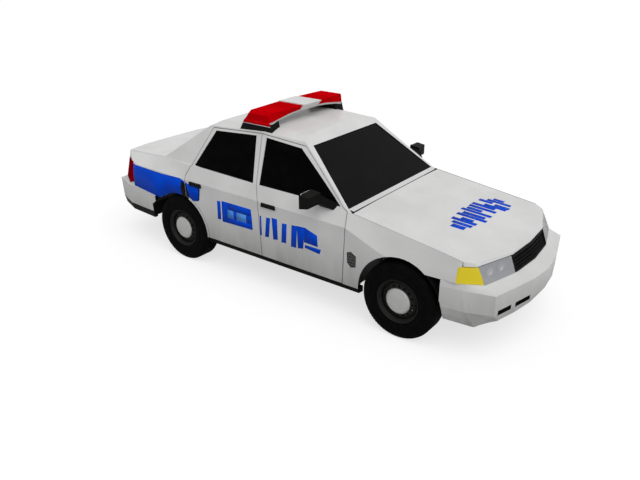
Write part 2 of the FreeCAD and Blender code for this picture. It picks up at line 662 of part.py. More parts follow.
hood_hinge_x = x_hood_rear + lid_hinge_set_back
hood_hinge_z = belt_z(hood_hinge_x) - lid_hinge_drop
firewall_x = x_door_front + 20.0
hood_eye, hood_post, hood_bore = lid_hinge(hood_hinge_x, hood_hinge_z, 640.0, 160.0, firewall_x)
hood = fused([hood, hood_eye, mirrored(hood_eye)]).cut(both(hood_bore))
hood_gap = plate(hood_plan(seam / 2), "xy", NOSE_HIGH_Z - 8.0 - seam, FAR)

front_arch = cylinder_y(arch_radius, x_front_axle, tyre_radius, -FAR, FAR)
front_well = block(x_front_axle - arch_radius, x_front_axle + arch_radius, -FAR, FAR, 0.0, tyre_radius)
bumper_zone = plate([(x_front_axle + 100.0, 0.0), (x_front_axle + 100.0, fender_front_z),
                     (x_front + 100.0, fender_front_z), (x_front + 100.0, 0.0)], "xz", -FAR, FAR)
fender_side = block(x_door_front + seam / 2 - 40.0, x_front, half_width - 330.0, FAR, 0.0, FAR)
fender = skin.common(nose).cut(skin_inner).common(fender_side)
fender = fender.cut(front_arch).cut(front_well).cut(bumper_zone).cut(hood_gap).cut(front_door_space(seam / 2))
beside_cowl = block(x_door_front - 100.0, x_hood_rear + 1.0, 0.0, belt_half(x_hood_rear) - 8.0 + seam / 2,
                    belt_height - 200.0, FAR)
fender = fender.cut(cabin).cut(beside_cowl)
lamp_band = block(x_front_axle + 400.0, x_front + 50.0, -FAR, FAR, NOSE_LOW_Z - 1.0, NOSE_HIGH_Z - 8.0 - seam)
lamp_depth = 62.0
lamp_shell = skin.common(nose).cut(nose_space(lamp_depth)).common(lamp_band)
signal_rear_x = x_front_axle + 555.0
signal_y = half_width - 146.0
signal_zone = block(signal_rear_x, x_front, signal_y, FAR, 0.0, FAR)
head_zone = block(signal_rear_x, x_front, 392.0, signal_y - 1.0, 0.0, FAR)
grille_zone = block(signal_rear_x, x_front, -390.0, 390.0, 0.0, FAR)
turn_signal = lamp_shell.common(signal_zone)
headlamp = lamp_shell.common(head_zone)
fender = largest(fender.cut(block(signal_rear_x - fit_gap, x_front, 390.0, FAR, NOSE_LOW_Z - 2.0,
                                  NOSE_HIGH_Z - 8.0 - seam)))

# Vent behind each front wheel: an opening in the fender with sloping slats.
vent_x, vent_z = x_door_front + 74.0, sill_z + 295.0
VENT = [(-54.0, 66.0), (-4.0, 86.0), (54.0, 48.0), (50.0, -68.0), (-8.0, -86.0), (-50.0, -44.0)]
vent_outline = [(vent_x + x, vent_z + z) for x, z in VENT]
vent_slats = []
for row in range(6):
    z = vent_z - 84.0 + 30.0 * row
    slat = [(half_width - 60.0, z + 26.0), (half_width + 10.0, z - 14.0), (half_width + 10.0, z - 8.0),
            (half_width - 60.0, z + 32.0)]
    vent_slats.append(plate(slat, "yz", vent_x - 70.0, vent_x + 70.0))
vent_space = plate(grown(vent_outline, 1.0), "xz", half_width - 80.0, FAR)
vent_slats = Part.makeCompound(vent_slats).common(vent_space).common(hull(3.0)).cut(hull(16.0))
fender = fused([fender.cut(plate(vent_outline, "xz", half_width - 80.0, FAR)), vent_slats])

# Header panel behind the lamps, with strips beside the grille.
nose_panel = skin.common(nose_space(lamp_depth + fit_gap)).cut(nose_space(lamp_depth + 22.0))
nose_panel = nose_panel.common(lamp_band)
nose_panel = nose_panel.common(block(signal_rear_x - 40.0, x_front, 64.0 - half_width, half_width - 64.0,
                                     0.0, FAR))
cooling_opening = block(0.0, x_front, -350.0, 350.0, NOSE_LOW_Z + 8.0, NOSE_HIGH_Z - 24.0)
radiator_x = x_front_axle + 703.0
front_rail_top = NOSE_LOW_Z - 170.0
rail_half = 32.0
frame_y = 430.0
upright = block(radiator_x, radiator_x + 100.0, frame_y - rail_half, frame_y + rail_half, front_rail_top,
                NOSE_HIGH_Z - 40.0)
radiator = block(radiator_x, radiator_x + 45.0, -frame_y, frame_y, front_rail_top - 90.0, NOSE_HIGH_Z - 40.0)
upright = upright.common(nose_space(lamp_depth + fit_gap))
nose_panel = fused([nose_panel.cut(cooling_opening), upright, mirrored(upright), radiator.cut(
    both(block(0.0, x_front, frame_y - rail_half - 1.0, frame_y, 0.0, front_rail_top)))])

grille_shell = lamp_shell.common(grille_zone)
grille_frame = grille_shell.cut(block(signal_rear_x, x_front, -372.0, 372.0, NOSE_LOW_Z + 14.0,
                                      NOSE_HIGH_Z - 30.0))
grille_bars = []
bar_rows, bar_columns = 4, 17
bar_top = NOSE_HIGH_Z - 8.0 - seam
for row in range(1, bar_rows + 1):
    z = NOSE_LOW_Z + (bar_top - NOSE_LOW_Z) * row / (bar_rows + 1)
    grille_bars.append(block(signal_rear_x, x_front, -372.0, 372.0, z - 3.5, z + 3.5))
for column in range(1, bar_columns + 1):
    y = -372.0 + 744.0 * column / (bar_columns + 1)
    grille_bars.append(block(signal_rear_x, x_front, y - 3.0, y + 3.0, NOSE_LOW_Z, bar_top))
bar_shell = skin.common(nose_space(12.0)).cut(nose_space(34.0)).common(lamp_band)
grille = fused([grille_frame] + [bar_shell.common(bar) for bar in grille_bars])

# ---------------------------------------------------------------- bumpers
def bumper_solid(levels, x_end, direction, inset=0.0):
    sections = []
    for z, half in levels:
        points = [(x_end - direction * (depth + inset), max(y - inset * (y > 500.0), 0.0))
                  for depth, y in half]
        right = [Vector(x, -y, z) for x, y in points if y > 0.0]
        left = [Vector(x, y, z) for x, y in points[::-1] if y > 0.0]
        sections.append(left + [Vector(points[0][0], 0.0, z)] + right)
    return loft(sections)


def raised(levels, lift_top, drop_bottom):
    out = [(z, half) for z, half in levels]
    out[0] = (out[0][0] + lift_top, out[0][1])
    out[-1] = (out[-1][0] - drop_bottom, out[-1][1])
    return out


bumper_wall = 46.0
# Lower edge of the front bumper in side view: an air dam behind the lip, rising to the wheel arch.
dam_line = [(x_front + 60.0, front_bumper_top - 344.0), (x_front - 160.0, front_bumper_top - 346.0),
            (x_front - 348.0, front_bumper_top - 439.0), (x_front - 628.0, front_bumper_top - 398.0),
            (x_front - 760.0, front_bumper_top - 396.0)]
under_dam = plate(dam_line + [(x_front - 760.0, -100.0), (x_front + 60.0, -100.0)], "xz", -FAR, FAR)
front_bumper = bumper_solid(FRONT_BUMPER, x_front, 1.0).cut(
    bumper_solid(raised(FRONT_BUMPER, -30.0, 60.0), x_front, 1.0, bumper_wall))
above_walls = block(-FAR, FAR, -FAR, FAR, front_bumper_top - 36.0, FAR)
front_bumper = front_bumper.cut(nose_space(lamp_depth + fit_gap).common(above_walls)).cut(under_dam)
front_bumper = front_bumper.cut(front_arch).cut(front_well)
slot_low_z = front_bumper_top - 272.0
slot_high_z = front_bumper_top - 222.0
slots = []
for y0, y1 in ((-750.0, -570.0), (-510.0, -295.0), (295.0, 510.0), (570.0, 750.0)):
    slots.append(block(x_front - 250.0, x_front, y0, y1, slot_low_z, slot_high_z))
front_bumper = front_bumper.cut(Part.makeCompound(slots))
rear_bumper = bumper_solid(REAR_BUMPER, x_rear, -1.0).cut(
    bumper_solid(raised(REAR_BUMPER, -6.0, 60.0), x_rear, -1.0, bumper_wall))
above_walls = block(-FAR, FAR, -FAR, FAR, rear_bumper_top - 24.0, FAR)
rear_bumper = rear_bumper.cut(tail_space(24.0).common(above_walls)).cut(rear_arch)


def rear_bumper_zone(gap=0.0):
    """The region under the rear bumper's top line, which falls towards the wheel arch."""
    line = [(x_rear_axle + 30.0, rear_bumper_top - 64.0), (x_rear_axle - 400.0, rear_bumper_top - 50.0),
            (x_rear_axle - 880.0, rear_bumper_top - 8.0), (x_rear - 60.0, rear_bumper_top)]
    below = [(x_rear - 60.0, 0.0), (x_rear_axle + 30.0, 0.0)]
    return plate([(x, z + gap) for x, z in line] + below, "xz", -FAR, FAR)


rear_bumper = rear_bumper.common(rear_bumper_zone())
plate_hole_radius = 3.5
plate_hole_spacing = 178.0


def plate_holes(x, z):
    """Two screw holes for a registration plate, through a bumper's outer wall."""
    start = Vector(x, plate_hole_spacing / 2, z)
    return both(Part.makeCylinder(plate_hole_radius, 300.0, start, Vector(1, 0, 0)))


front_bumper = front_bumper.cut(plate_holes(x_front - 200.0, front_bumper_top - 146.0))
rear_bumper = rear_bumper.cut(plate_holes(x_rear - 100.0, rear_bumper_top - 156.0))

# ---------------------------------------------------------------- quarter panels, tail, trunk lid
tail = tail_space()
lid_half = 600.0                        # half the width of the lid's rear face


def trunk_plan(grow=0.0):
    xs = [x_trunk_front + seam / 2, x_rear_axle - 880.0, x_rear - 30.0]
    edge = [(x, belt_half(x) - 12.0) for x in xs]
    return grown([(x, y) for x, y in edge] + [(x, -y) for x, y in edge[::-1]], grow)


lid_bottom_z = rear_bumper_top + 14.0
deck_z = belt_height - 150.0            # lamps and lid face are below this, the deck above
lid_wall = skin.common(tail).cut(hull(lid_thickness).common(tail_space(lid_thickness)))
behind_glass = block(x_rear, x_trunk_front, -FAR, FAR, 0.0, FAR)


def lid_space(grow=0.0):
    top = plate(trunk_plan(grow), "xy", deck_z - grow, FAR)
    face = block(x_rear - 50.0, x_tail + 150.0, -lid_half - grow, lid_half + grow, lid_bottom_z - grow, FAR)
    return top.fuse(face)


trunk_lid = lid_wall.common(lid_space(-seam / 2)).common(behind_glass)
trunk_lid = largest(trunk_lid)
trunk_hinge_x = x_trunk_front - lid_hinge_set_back
trunk_hinge_z = belt_z(trunk_hinge_x) - lid_hinge_drop
trunk_eye, trunk_post, trunk_bore = lid_hinge(trunk_hinge_x, trunk_hinge_z, 560.0, 160.0, x_shelf_rear)
trunk_lid = fused([trunk_lid, trunk_eye, mirrored(trunk_eye)]).cut(both(trunk_bore))
lamp_wall = skin.common(tail).cut(tail_space(58.0))
tail_lamp_zone = block(x_rear - 50.0, x_rear_axle - 905.0, lid_half + seam / 2 + 2.0, FAR,
                       lid_bottom_z - 4.0, deck_z - seam)
tail_lamp = lamp_wall.common(tail_lamp_zone)
quarter_zone = block(x_rear - 50.0, x_rear_axle + rear_arch_radius + 40.0, half_width - 400.0, FAR, 0.0, FAR)
quarter = skin.common(tail).cut(skin_inner.common(tail_space(panel_thickness))).common(quarter_zone)
quarter = quarter.cut(rear_arch).cut(rear_bumper_zone(1.0)).cut(rear_door_space(seam / 2))
quarter = quarter.cut(lid_space(seam / 2)).cut(tail_lamp_zone).cut(cabin)
quarter = quarter.cut(front_door_space(seam / 2))
cabin_floor_cut = block(x_backlight_base + 40.0, x_front, -FAR, half_width - 175.0, 0.0, FAR)
quarter = quarter.cut(cabin_floor_cut)
quarter = largest(quarter)

# ---------------------------------------------------------------- floor, frame, running gear
floor_z = sill_z - 40.0
floor_thickness = 10.0
hump_z = tyre_radius + 276.0
trunk_floor_z = rear_bumper_top - 244.0
floor_rear_x = x_rear + 90.0
firewall_top = cowl_low_z
floor_line = [
    (firewall_x, firewall_top), (firewall_x, floor_z + 250.0), (x_door_front - 170.0, floor_z),
    (x_rear_axle + 560.0, floor_z), (x_rear_axle + 500.0, floor_z + 190.0), (x_rear_axle + 300.0, hump_z),
    (x_rear_axle - 360.0, hump_z), (x_rear_axle - 470.0, trunk_floor_z), (floor_rear_x, trunk_floor_z),
]
tunnel_half = 130.0
tunnel_top = floor_z + 160.0
tunnel = block(x_rear_axle + 500.0, firewall_x, -tunnel_half, tunnel_half, floor_z, tunnel_top)
tunnel_inside = block(x_rear_axle + 440.0, firewall_x + 10.0, -tunnel_half + 10.0, tunnel_half - 10.0,
                      floor_z - 10.0, tunnel_top - 10.0)
boot_floor = [(x_rear_axle - 530.0, 800.0), (x_rear + 365.0, 790.0), (x_rear + 165.0, 690.0),
              (floor_rear_x, 640.0)]
boot_floor = plate(boot_floor + [(x, -y) for x, y in boot_floor[::-1]], "xy", trunk_floor_z,
                   trunk_floor_z + floor_thickness)
tail_panel = block(floor_rear_x, floor_rear_x + floor_thickness, -640.0, 640.0, trunk_floor_z,
                   rear_bumper_top - 26.0)
floor_sheets = [
    folded_sheet(floor_line, -floor_thickness, -well_half + 6.0, well_half - 6.0),
    folded_sheet(floor_line[:4], -floor_thickness, -floor_half, floor_half),
]
floor_pan = fused(floor_sheets + [tunnel, boot_floor, tail_panel]).cut(tunnel_inside)
floor_pan = fused([floor_pan, hood_post, mirrored(hood_post)])
floor_clear = fused([folded_sheet(floor_line[:8], thickness, -FAR, FAR) for thickness in
                     (-floor_thickness - fit_gap, 300.0)] + [tunnel])

# Bulkhead behind the rear seat, with the parcel shelf over the trunk.
shelf_z = belt_z(x_trunk_front) - 30.0
bulkhead_line = [(x_rear_axle + 190.0, hump_z + floor_thickness), (x_rear_axle + 104.0, shelf_z),
                 (x_shelf_rear + 14.0, shelf_z), (x_shelf_rear, shelf_z + 26.0)]
bulkhead = fused([
    folded_sheet(bulkhead_line, 8.0, -well_half + 6.0, well_half - 6.0),
    folded_sheet(bulkhead_line[1:], 8.0, -half_width + 250.0, half_width - 250.0),
    both(block(x_shelf_rear, x_shelf_rear + 14.0, 560.0 + fit_gap, 580.0, trunk_hinge_z - 160.0, shelf_z)),
    both(trunk_post),
]).cut(both(body_side)).cut(floor_pan)
bulkhead = largest(bulkhead)

rail_depth = 80.0
rail_line = [(x_front - 100.0, front_rail_top), (x_front_axle - 380.0, front_rail_top),
             (x_front_axle - 620.0, floor_z)] + floor_line[3:8] + [(x_rear + 10.0, trunk_floor_z)]
rail = folded_sheet(rail_line, rail_depth, frame_y - rail_half, frame_y + rail_half)
members = [
    block(x, x + 90.0, -frame_y, frame_y, z - depth, z) for x, z, depth in (
        (x_front_axle - 45.0, front_rail_top - rail_depth, 60.0), (x_front_axle - 900.0, floor_z, 40.0),
        (x_rear_axle + 620.0, floor_z, 40.0), (x_rear + 140.0, trunk_floor_z, 60.0))
]
frame = fused([rail, mirrored(rail)] + members).cut(front_bumper).cut(rear_bumper)
frame = largest(frame)

engine_low = front_rail_top - rail_depth
engine = block(x_front_axle - 330.0, x_front_axle + 300.0, -290.0, 290.0, engine_low, NOSE_HIGH_Z - 32.0)
gearbox_x = x_front_axle - 330.0
gearbox = loft([
    [Vector(x, -y, low), Vector(x, y, low), Vector(x, y, high), Vector(x, -y, high)]
    for x, y, low, high in ((gearbox_x, 180.0, engine_low - 60.0, engine_low + 180.0),
                            (gearbox_x - 240.0, 105.0, engine_low - 130.0, engine_low - 30.0),
                            (gearbox_x - 560.0, 60.0, engine_low - 150.0, engine_low - 50.0))])
driveshaft = rod(42.0, Vector(gearbox_x - 540.0, 0.0, engine_low - 100.0),
                 Vector(x_rear_axle + 240.0, 0.0, tyre_radius))
driveline = gearbox.fuse(driveshaft)

fuel_tank = block(x_rear + 320.0, x_rear_axle - 490.0, -390.0, 130.0, trunk_floor_z - 180.0, trunk_floor_z)

lower_ball_z = tyre_radius - ball_joint_reach
upper_ball_z = tyre_radius + ball_joint_reach
arm_thickness = 26.0


def control_arm(z, inner_half, inner_y):
    """An A-shaped arm from the frame to a ball joint on the kingpin axis."""
    outline = [(x_front_axle - inner_half, inner_y), (x_front_axle + inner_half, inner_y),
               (x_front_axle + 26.0, kingpin_y + 20.0), (x_front_axle - 26.0, kingpin_y + 20.0)]
    hole = [(x_front_axle - inner_half * 0.55, inner_y + 40.0),
            (x_front_axle + inner_half * 0.55, inner_y + 40.0), (x_front_axle, inner_y + 190.0)]
    arm = plate(outline, "xy", z - arm_thickness / 2, z + arm_thickness / 2)
    return arm.cut(plate(hole, "xy", z - arm_thickness, z + arm_thickness))


pin_radius = 11.0
lower_arm = fused([control_arm(lower_ball_z - 30.0, 120.0, frame_y + rail_half),
                   rod(pin_radius, Vector(x_front_axle, kingpin_y, lower_ball_z - 30.0),
                       Vector(x_front_axle, kingpin_y, lower_ball_z + 22.0))])
upper_arm = fused([control_arm(upper_ball_z + 30.0, 90.0, frame_y + rail_half),
                   rod(pin_radius, Vector(x_front_axle, kingpin_y, upper_ball_z - 22.0),
                       Vector(x_front_axle, kingpin_y, upper_ball_z + 30.0))])
tower = block(x_front_axle - 95.0, x_front_axle + 95.0, frame_y + rail_half, frame_y + 62.0,
              lower_ball_z - 44.0, front_rail_top - 6.0)
front_suspension = fused([lower_arm, upper_arm, tower])

knuckle_post = block(x_front_axle - 26.0, x_front_axle + 26.0, kingpin_y - 26.0, kingpin_y + 24.0,
                     lower_ball_z - 12.0, upper_ball_z + 12.0)
knuckle = fused([knuckle_post,
                 cylinder_y(46.0, x_front_axle, tyre_radius, kingpin_y - 20.0, kingpin_y + 34.0),
                 cylinder_y(spindle_radius, x_front_axle, tyre_radius, kingpin_y, wheel_y + 62.0)])
pin_hole = pin_radius + running_fit
knuckle = knuckle.cut(rod(pin_hole, Vector(x_front_axle, kingpin_y, lower_ball_z - 40.0),
                          Vector(x_front_axle, kingpin_y, lower_ball_z + 26.0)))
knuckle = knuckle.cut(rod(pin_hole, Vector(x_front_axle, kingpin_y, upper_ball_z - 26.0),
                          Vector(x_front_axle, kingpin_y, upper_ball_z + 40.0)))

axle_end = wheel_y - 44.0
rear_axle = fused([
    cylinder_y(42.0, x_rear_axle, tyre_radius, -axle_end, axle_end),
    cylinder_y(spindle_radius, x_rear_axle, tyre_radius, -wheel_y - 62.0, wheel_y + 62.0),
    cylinder_y(125.0, x_rear_axle, tyre_radius, -80.0, 80.0),
    rod(46.0, Vector(x_rear_axle + 60.0, 0.0, tyre_radius), Vector(x_rear_axle + 238.0, 0.0, tyre_radius)),
    rod(34.0, Vector(x_rear_axle, frame_y, tyre_radius), Vector(x_rear_axle, frame_y, hump_z - rail_depth)),
    rod(34.0, Vector(x_rear_axle, -frame_y, tyre_radius), Vector(x_rear_axle, -frame_y, hump_z - rail_depth)),
])


# ---------------------------------------------------------------- wheels
def revolved(profile, x, y):
    """A ring turned about a wheel's axis. The profile's points are (radius, distance outboard)."""
    corners = [Vector(x, y + out, tyre_radius + radius) for radius, out in profile]
    face = Part.Face(Part.makePolygon(corners + corners[:1]))
    return face.revolve(Vector(x, y, tyre_radius), Vector(0, 1, 0), 360.0)


def tyre(x):
    half = tyre_width / 2
    profile = [
        (rim_radius, -half + 18.0), (rim_radius + 40.0, -half), (tyre_radius - 48.0, -half),
        (tyre_radius - 14.0, -half + 14.0), (tyre_radius, -half + 34.0), (tyre_radius, half - 34.0),
        (tyre_radius - 14.0, half - 14.0), (tyre_radius - 48.0, half), (rim_radius + 40.0, half),
        (rim_radius, half - 18.0),
    ]
    return revolved(profile, x, wheel_y)


def wheel(x):
    """A steel wheel: barrel, dished disc with slots, hub with a blind bore, and a centre cap."""
    half = tyre_width / 2
    barrel = revolved([(rim_radius, -half + 18.0), (rim_radius, half - 18.0),
                       (rim_radius + 10.0, half - 10.0), (rim_radius + 6.0, half - 4.0),
                       (rim_radius - 8.0, half - 22.0),
                       (rim_radius - 22.0, half - 40.0), (rim_radius - 22.0, -half + 40.0),
                       (rim_radius - 8.0, -half + 18.0)], x, wheel_y)
    disc = revolved([(rim_radius - 16.0, 44.0), (rim_radius - 16.0, 54.0), (172.0, 72.0), (130.0, 92.0),
                     (112.0, 86.0), (0.0, 86.0), (0.0, 66.0), (118.0, 66.0), (166.0, 58.0)], x, wheel_y)
    hub = revolved([(0.0, 66.0), (66.0, 66.0), (66.0, 4.0), (0.0, 4.0)], x, wheel_y)
    cap = revolved([(0.0, 86.0), (118.0, 86.0), (126.0, 96.0), (112.0, 106.0), (60.0, 114.0), (0.0, 116.0)],
                   x, wheel_y)
    whole = fused([barrel, disc, hub, cap])
    bore = cylinder_y(spindle_radius + running_fit, x, tyre_radius, wheel_y - 20.0, wheel_y + 64.0)
    whole = whole.cut(bore)
    vents = []
    for i in range(16):
        angle = 2 * math.pi * i / 16
        centre = Vector(x + 150.0 * math.cos(angle), wheel_y + 30.0, tyre_radius + 150.0 * math.sin(angle))
        vents.append(Part.makeCylinder(11.0, 80.0, centre, Vector(0, 1, 0)))
    return whole.cut(Part.makeCompound(vents))


# ---------------------------------------------------------------- interior
def seat(y):
    """A front seat: cushion, back and head restraint in one moulding, on its base."""
    x = x_centre_seam + 70.0
    low = floor_z + 120.0
    cushion = plate([(x, low), (x + 500.0, low + 40.0), (x + 520.0, low + 130.0), (x + 60.0, low + 130.0)],
                    "xz", y - 245.0, y + 245.0)
    back = plate([(x, low), (x + 90.0, low + 130.0), (x - 50.0, low + 690.0), (x - 160.0, low + 690.0)], "xz",
                 y - 235.0, y + 235.0)
    rest = plate([(x - 150.0, low + 680.0), (x - 60.0, low + 680.0), (x - 80.0, low + 860.0),
                  (x - 155.0, low + 860.0)], "xz", y - 120.0, y + 120.0)
    base = plate([(x + 40.0, floor_z), (x + 420.0, floor_z), (x + 440.0, low + 50.0), (x + 30.0, low + 50.0)],
                 "xz", y - 190.0, y + 190.0)
    return fused([cushion, back, rest, base]).cut(floor_clear)


def rear_bench():
    x = x_rear_axle + 500.0
    cushion = plate([(x - 176.0, hump_z - 20.0), (x - 6.0, floor_z + 170.0), (x + 170.0, floor_z + 170.0),
                     (x + 190.0, hump_z - 28.0), (x - 60.0, hump_z + 32.0), (x - 176.0, hump_z + 32.0)], "xz",
                    -620.0, 620.0).cut(floor_clear).cut(tunnel)
    back = plate([(x - 320.0, hump_z), (x - 150.0, hump_z), (x - 260.0, shelf_z), (x - 420.0, shelf_z)], "xz",
                 -490.0, 490.0).cut(floor_clear)
    bench = fused([cushion, back]).cut(folded_sheet(bulkhead_line, 300.0, -FAR, FAR))
    return largest(bench)


dash_x = firewall_x - floor_thickness
dash_top = belt_height - 66.0
dashboard = plate([(dash_x, dash_top - 362.0), (dash_x, cowl_low_z - 4.0),
                   (x_glass_base - 66.0, cowl_low_z - 4.0), (x_glass_base - 76.0, dash_top),
                   (dash_x - 330.0, dash_top - 16.0),
                   (dash_x - 350.0, dash_top - 146.0), (dash_x - 260.0, dash_top - 306.0),
                   (dash_x - 150.0, dash_top - 376.0)], "xz", -690.0, 690.0)
wheel_centre = Vector(dash_x - 520.0, 370.0, dash_top - 106.0)
column_tilt = math.radians(24.0)
column_axis = Vector(-math.cos(column_tilt), 0.0, math.sin(column_tilt))
column = rod(30.0, wheel_centre - column_axis * 320.0, wheel_centre - column_axis * 62.0)
column_pin_radius = 9.0
column_pin = rod(column_pin_radius, wheel_centre - column_axis * 80.0, wheel_centre - column_axis * 8.0)
dashboard = fused([dashboard, column, column_pin])


def steering_wheel():
    rim_torus = Part.makeTorus(188.0, 14.0, wheel_centre, column_axis)
    hub = rod(52.0, wheel_centre - column_axis * 52.0, wheel_centre + column_axis * 4.0)
    across = column_axis.cross(Vector(0, 1, 0))
    spokes = []
    for direction in (Vector(0, 1, 0), Vector(0, -1, 0), across):
        spokes.append(rod(13.0, wheel_centre - column_axis * 22.0 + direction * 30.0,
                          wheel_centre - column_axis * 2.0 + direction * 186.0))
    whole = fused([rim_torus, hub] + spokes)
    bore = rod(column_pin_radius + running_fit, wheel_centre - column_axis * 90.0,
               wheel_centre - column_axis * 6.0)
    return whole.cut(bore)


# ---------------------------------------------------------------- exhaust
tail_pipe_radius = 30.0
tail_pipe_length = 120.0


def exhaust():
    """One pipe under the left of the floor, over the rear axle to a silencer and a tail pipe."""
    y = 240.0
    radius = 27.0
    under_z = floor_z - 40.0 - radius
    over_axle_z = tyre_radius + 104.0
    tail_z = trunk_floor_z - 208.0
    points = [Vector(x_front_axle - 290.0, y, engine_low), Vector(x_front_axle - 290.0, y, engine_low - 90.0),
              Vector(x_front_axle - 470.0, y, under_z), Vector(x_rear_axle + 440.0, y, under_z),
              Vector(x_rear_axle + 230.0, y, over_axle_z), Vector(x_rear_axle - 200.0, y, over_axle_z),
              Vector(x_rear_axle - 450.0, y, tail_z), Vector(x_rear + 70.0, y, tail_z)]
    pieces = [rod(radius, a, b) for a, b in zip(points, points[1:])]
    pieces += [Part.makeSphere(radius, p) for p in points[1:-1]]
    silencer_z = tail_z + 68.0
    pieces.append(rod(72.0, Vector(x_rear_axle - 560.0, y, silencer_z),
                      Vector(x_rear_axle - 940.0, y, silencer_z)))
    pieces.append(rod(tail_pipe_radius, points[-1] + Vector(tail_pipe_length, 0, 0), points[-1]))
    return fused(pieces)


# ---------------------------------------------------------------- light bar
bar_x = x_centre_seam - 198.0           # middle of the light bar
bar_sheet = 20.0
# Underside of the light bar, arched over the roof: half width, height over the roof rail.
BAR_ARCH = [(0.0, 132.0), (150.0, 132.0), (320.0, 122.0), (640.0, 77.0)]
BAR_LOW = (-211.0, 147.0)                # rear and front edges at the bottom, from bar_x
BAR_FOOT = (-278.0, 182.0)
bar_centre_half = 149.0


def bar_under_z(y):
    return roof_height + interpolated(BAR_ARCH, abs(y), 1)


def bar_section(y, low, high, z_low, z_high):
    """A slice across the light bar, from its rear and front edges at the bottom and at the top."""
    return [Vector(bar_x + low[0], y, z_low), Vector(bar_x + low[1], y, z_low),
            Vector(bar_x + high[1], y, z_high), Vector(bar_x + high[0], y, z_high)]


tray_ys = [-y for y, up in BAR_ARCH[:0:-1]] + [y for y, up in BAR_ARCH[1:]]
bar_tray = loft([bar_section(y, BAR_LOW, (-206.0, 153.0), bar_under_z(y), bar_under_z(y) + bar_sheet)
                 for y in tray_ys])
bar_feet = loft([bar_section(y, BAR_FOOT, BAR_LOW, roof_height - 32.0, bar_under_z(y) + bar_sheet / 2)
                 for y in (500.0, 640.0)]).cut(cabin)
bar_lens = loft([bar_section(y, low, high, bar_under_z(y) + bar_sheet + fit_gap, roof_height + up)
                 for y, low, high, up in (
                     (bar_centre_half + 1.0, (-204.0, 150.0), (-142.0, 190.0), 203.0),
                     (320.0, (-204.0, 150.0), (-142.0, 178.0), 200.0),
                     (608.0, (-204.0, 150.0), (-134.0, 150.0), 196.0),
                     (640.0, (-196.0, 142.0), (-140.0, 136.0), 168.0))])
bar_centre = loft([bar_section(y, (-207.0, 156.0), (-138.0, 222.0), bar_under_z(y) + bar_sheet / 2,
                               roof_height + 212.0) for y in (-bar_centre_half, bar_centre_half)])
bar_base = fused([bar_tray, bar_feet, mirrored(bar_feet), bar_centre])

# ---------------------------------------------------------------- wheel well liners
def liner(space, wall_low_z):
    """A left wheel housing: an arched roof over the tyre and an inner wall above wall_low_z."""
    outside = space(liner_shell, well_half - liner_shell, half_width)
    roof = outside.cut(space(0.0, well_half - 20.0, half_width + 10.0))
    roof = roof.common(block(-FAR, FAR, 0.0, FAR, tyre_radius + 30.0, FAR))
    wall = space(liner_shell, well_half - liner_shell, well_half)
    wall = wall.common(block(-FAR, FAR, 0.0, FAR, wall_low_z, FAR))
    return fused([roof, wall]).common(hull(panel_thickness + fit_gap))


def front_arch_space(grow, y0, y1):
    return cylinder_y(arch_radius + grow, x_front_axle, tyre_radius, y0, y1)


front_liner = liner(front_arch_space, upper_ball_z + 80.0)
apron_x = (x_front_axle - 300.0, x_front_axle + 300.0)
apron_low_z = front_rail_top - liner_shell
apron = block(*apron_x, frame_y + rail_half, well_half, apron_low_z, front_rail_top)
apron = apron.fuse(block(*apron_x, well_half - liner_shell, well_half, apron_low_z, upper_ball_z + 90.0))
front_liner = fused([front_liner, apron]).cut(front_bumper)
front_liner = largest(front_liner)
rear_liner = liner(rear_arch_space, tyre_radius + 140.0).cut(rear_bumper)
rear_liner = largest(rear_liner)

# ---------------------------------------------------------------- write the pieces
def side_parts():
    """Moving and paired pieces, made for the left side and mirrored for the right."""
    parts = {
        "front_door": front_door,
        "rear_door": rear_door,
        "front_door_glass": side_glass(front_window),
        "rear_door_glass": side_glass(rear_window_side),
        "door_mirror": left_mirror,
        "knuckle": knuckle,
        "front_wheel": wheel(x_front_axle),
        "rear_wheel": wheel(x_rear_axle),
        "front_tyre": tyre(x_front_axle),
        "rear_tyre": tyre(x_rear_axle),
    }
    named = {}
    for name, shape in parts.items():
        left = shape.common(left_half) if name.endswith("glass") else shape
        named["left_" + name] = left
        named["right_" + name] = mirrored(left)
    return named


nodes = {
    "roof_panel": roof_panel,
    "body_sides": both(body_side),
    "windshield": windshield,
    "rear_window": backlight,
    "hood": hood,
    "front_fenders": both(fender),
    "nose_panel": nose_panel,
    "grille": grille,
    "headlamps": both(headlamp),
    "turn_signals": both(turn_signal),
    "cowl_panel": cowl,
    "front_bumper": front_bumper,
    "rear_bumper": rear_bumper,
    "quarter_panels": both(quarter),
    "trunk_lid": trunk_lid,
    "tail_lamps": both(tail_lamp),
    "floor_pan": floor_pan,
    "chassis_frame": frame,
    "engine": engine,
    "driveline": driveline,
    "fuel_tank": fuel_tank,
    "wheel_liners": Part.makeCompound([front_liner, mirrored(front_liner), rear_liner, mirrored(rear_liner)]),
    "rear_bulkhead": bulkhead,
    "front_suspension": both(front_suspension),
    "rear_axle": rear_axle,
    "seats": Part.makeCompound([seat(370.0), seat(-370.0), rear_bench()]),
    "dashboard": dashboard,
    "steering_wheel": steering_wheel(),
    "exhaust": exhaust(),
    "light_bar_base": bar_base,
    "light_bar_lenses": both(bar_lens),
}
nodes.update(side_parts())

os.makedirs("parts", exist_ok=True)
for name, shape in nodes.items():
    solids = [s for s in shape.Solids if s.Volume > 0]
    if not all(s.isValid() for s in solids):
        print("not valid:", name)
    Part.makeCompound(solids).exportStep("parts/" + name + ".step")
    box = shape.BoundBox
    print(f"{name}: {len(solids)} solids, {shape.Volume / 1e6:.2f} l, "
          f"x {box.XMin:.0f}..{box.XMax:.0f} y {box.YMin:.0f}..{box.YMax:.0f} "
          f"z {box.ZMin:.0f}..{box.ZMax:.0f}")
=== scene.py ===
"""Looks for the police patrol car: materials, tyres, films, lamps, seals, seats, light, camera."""

import json
import math

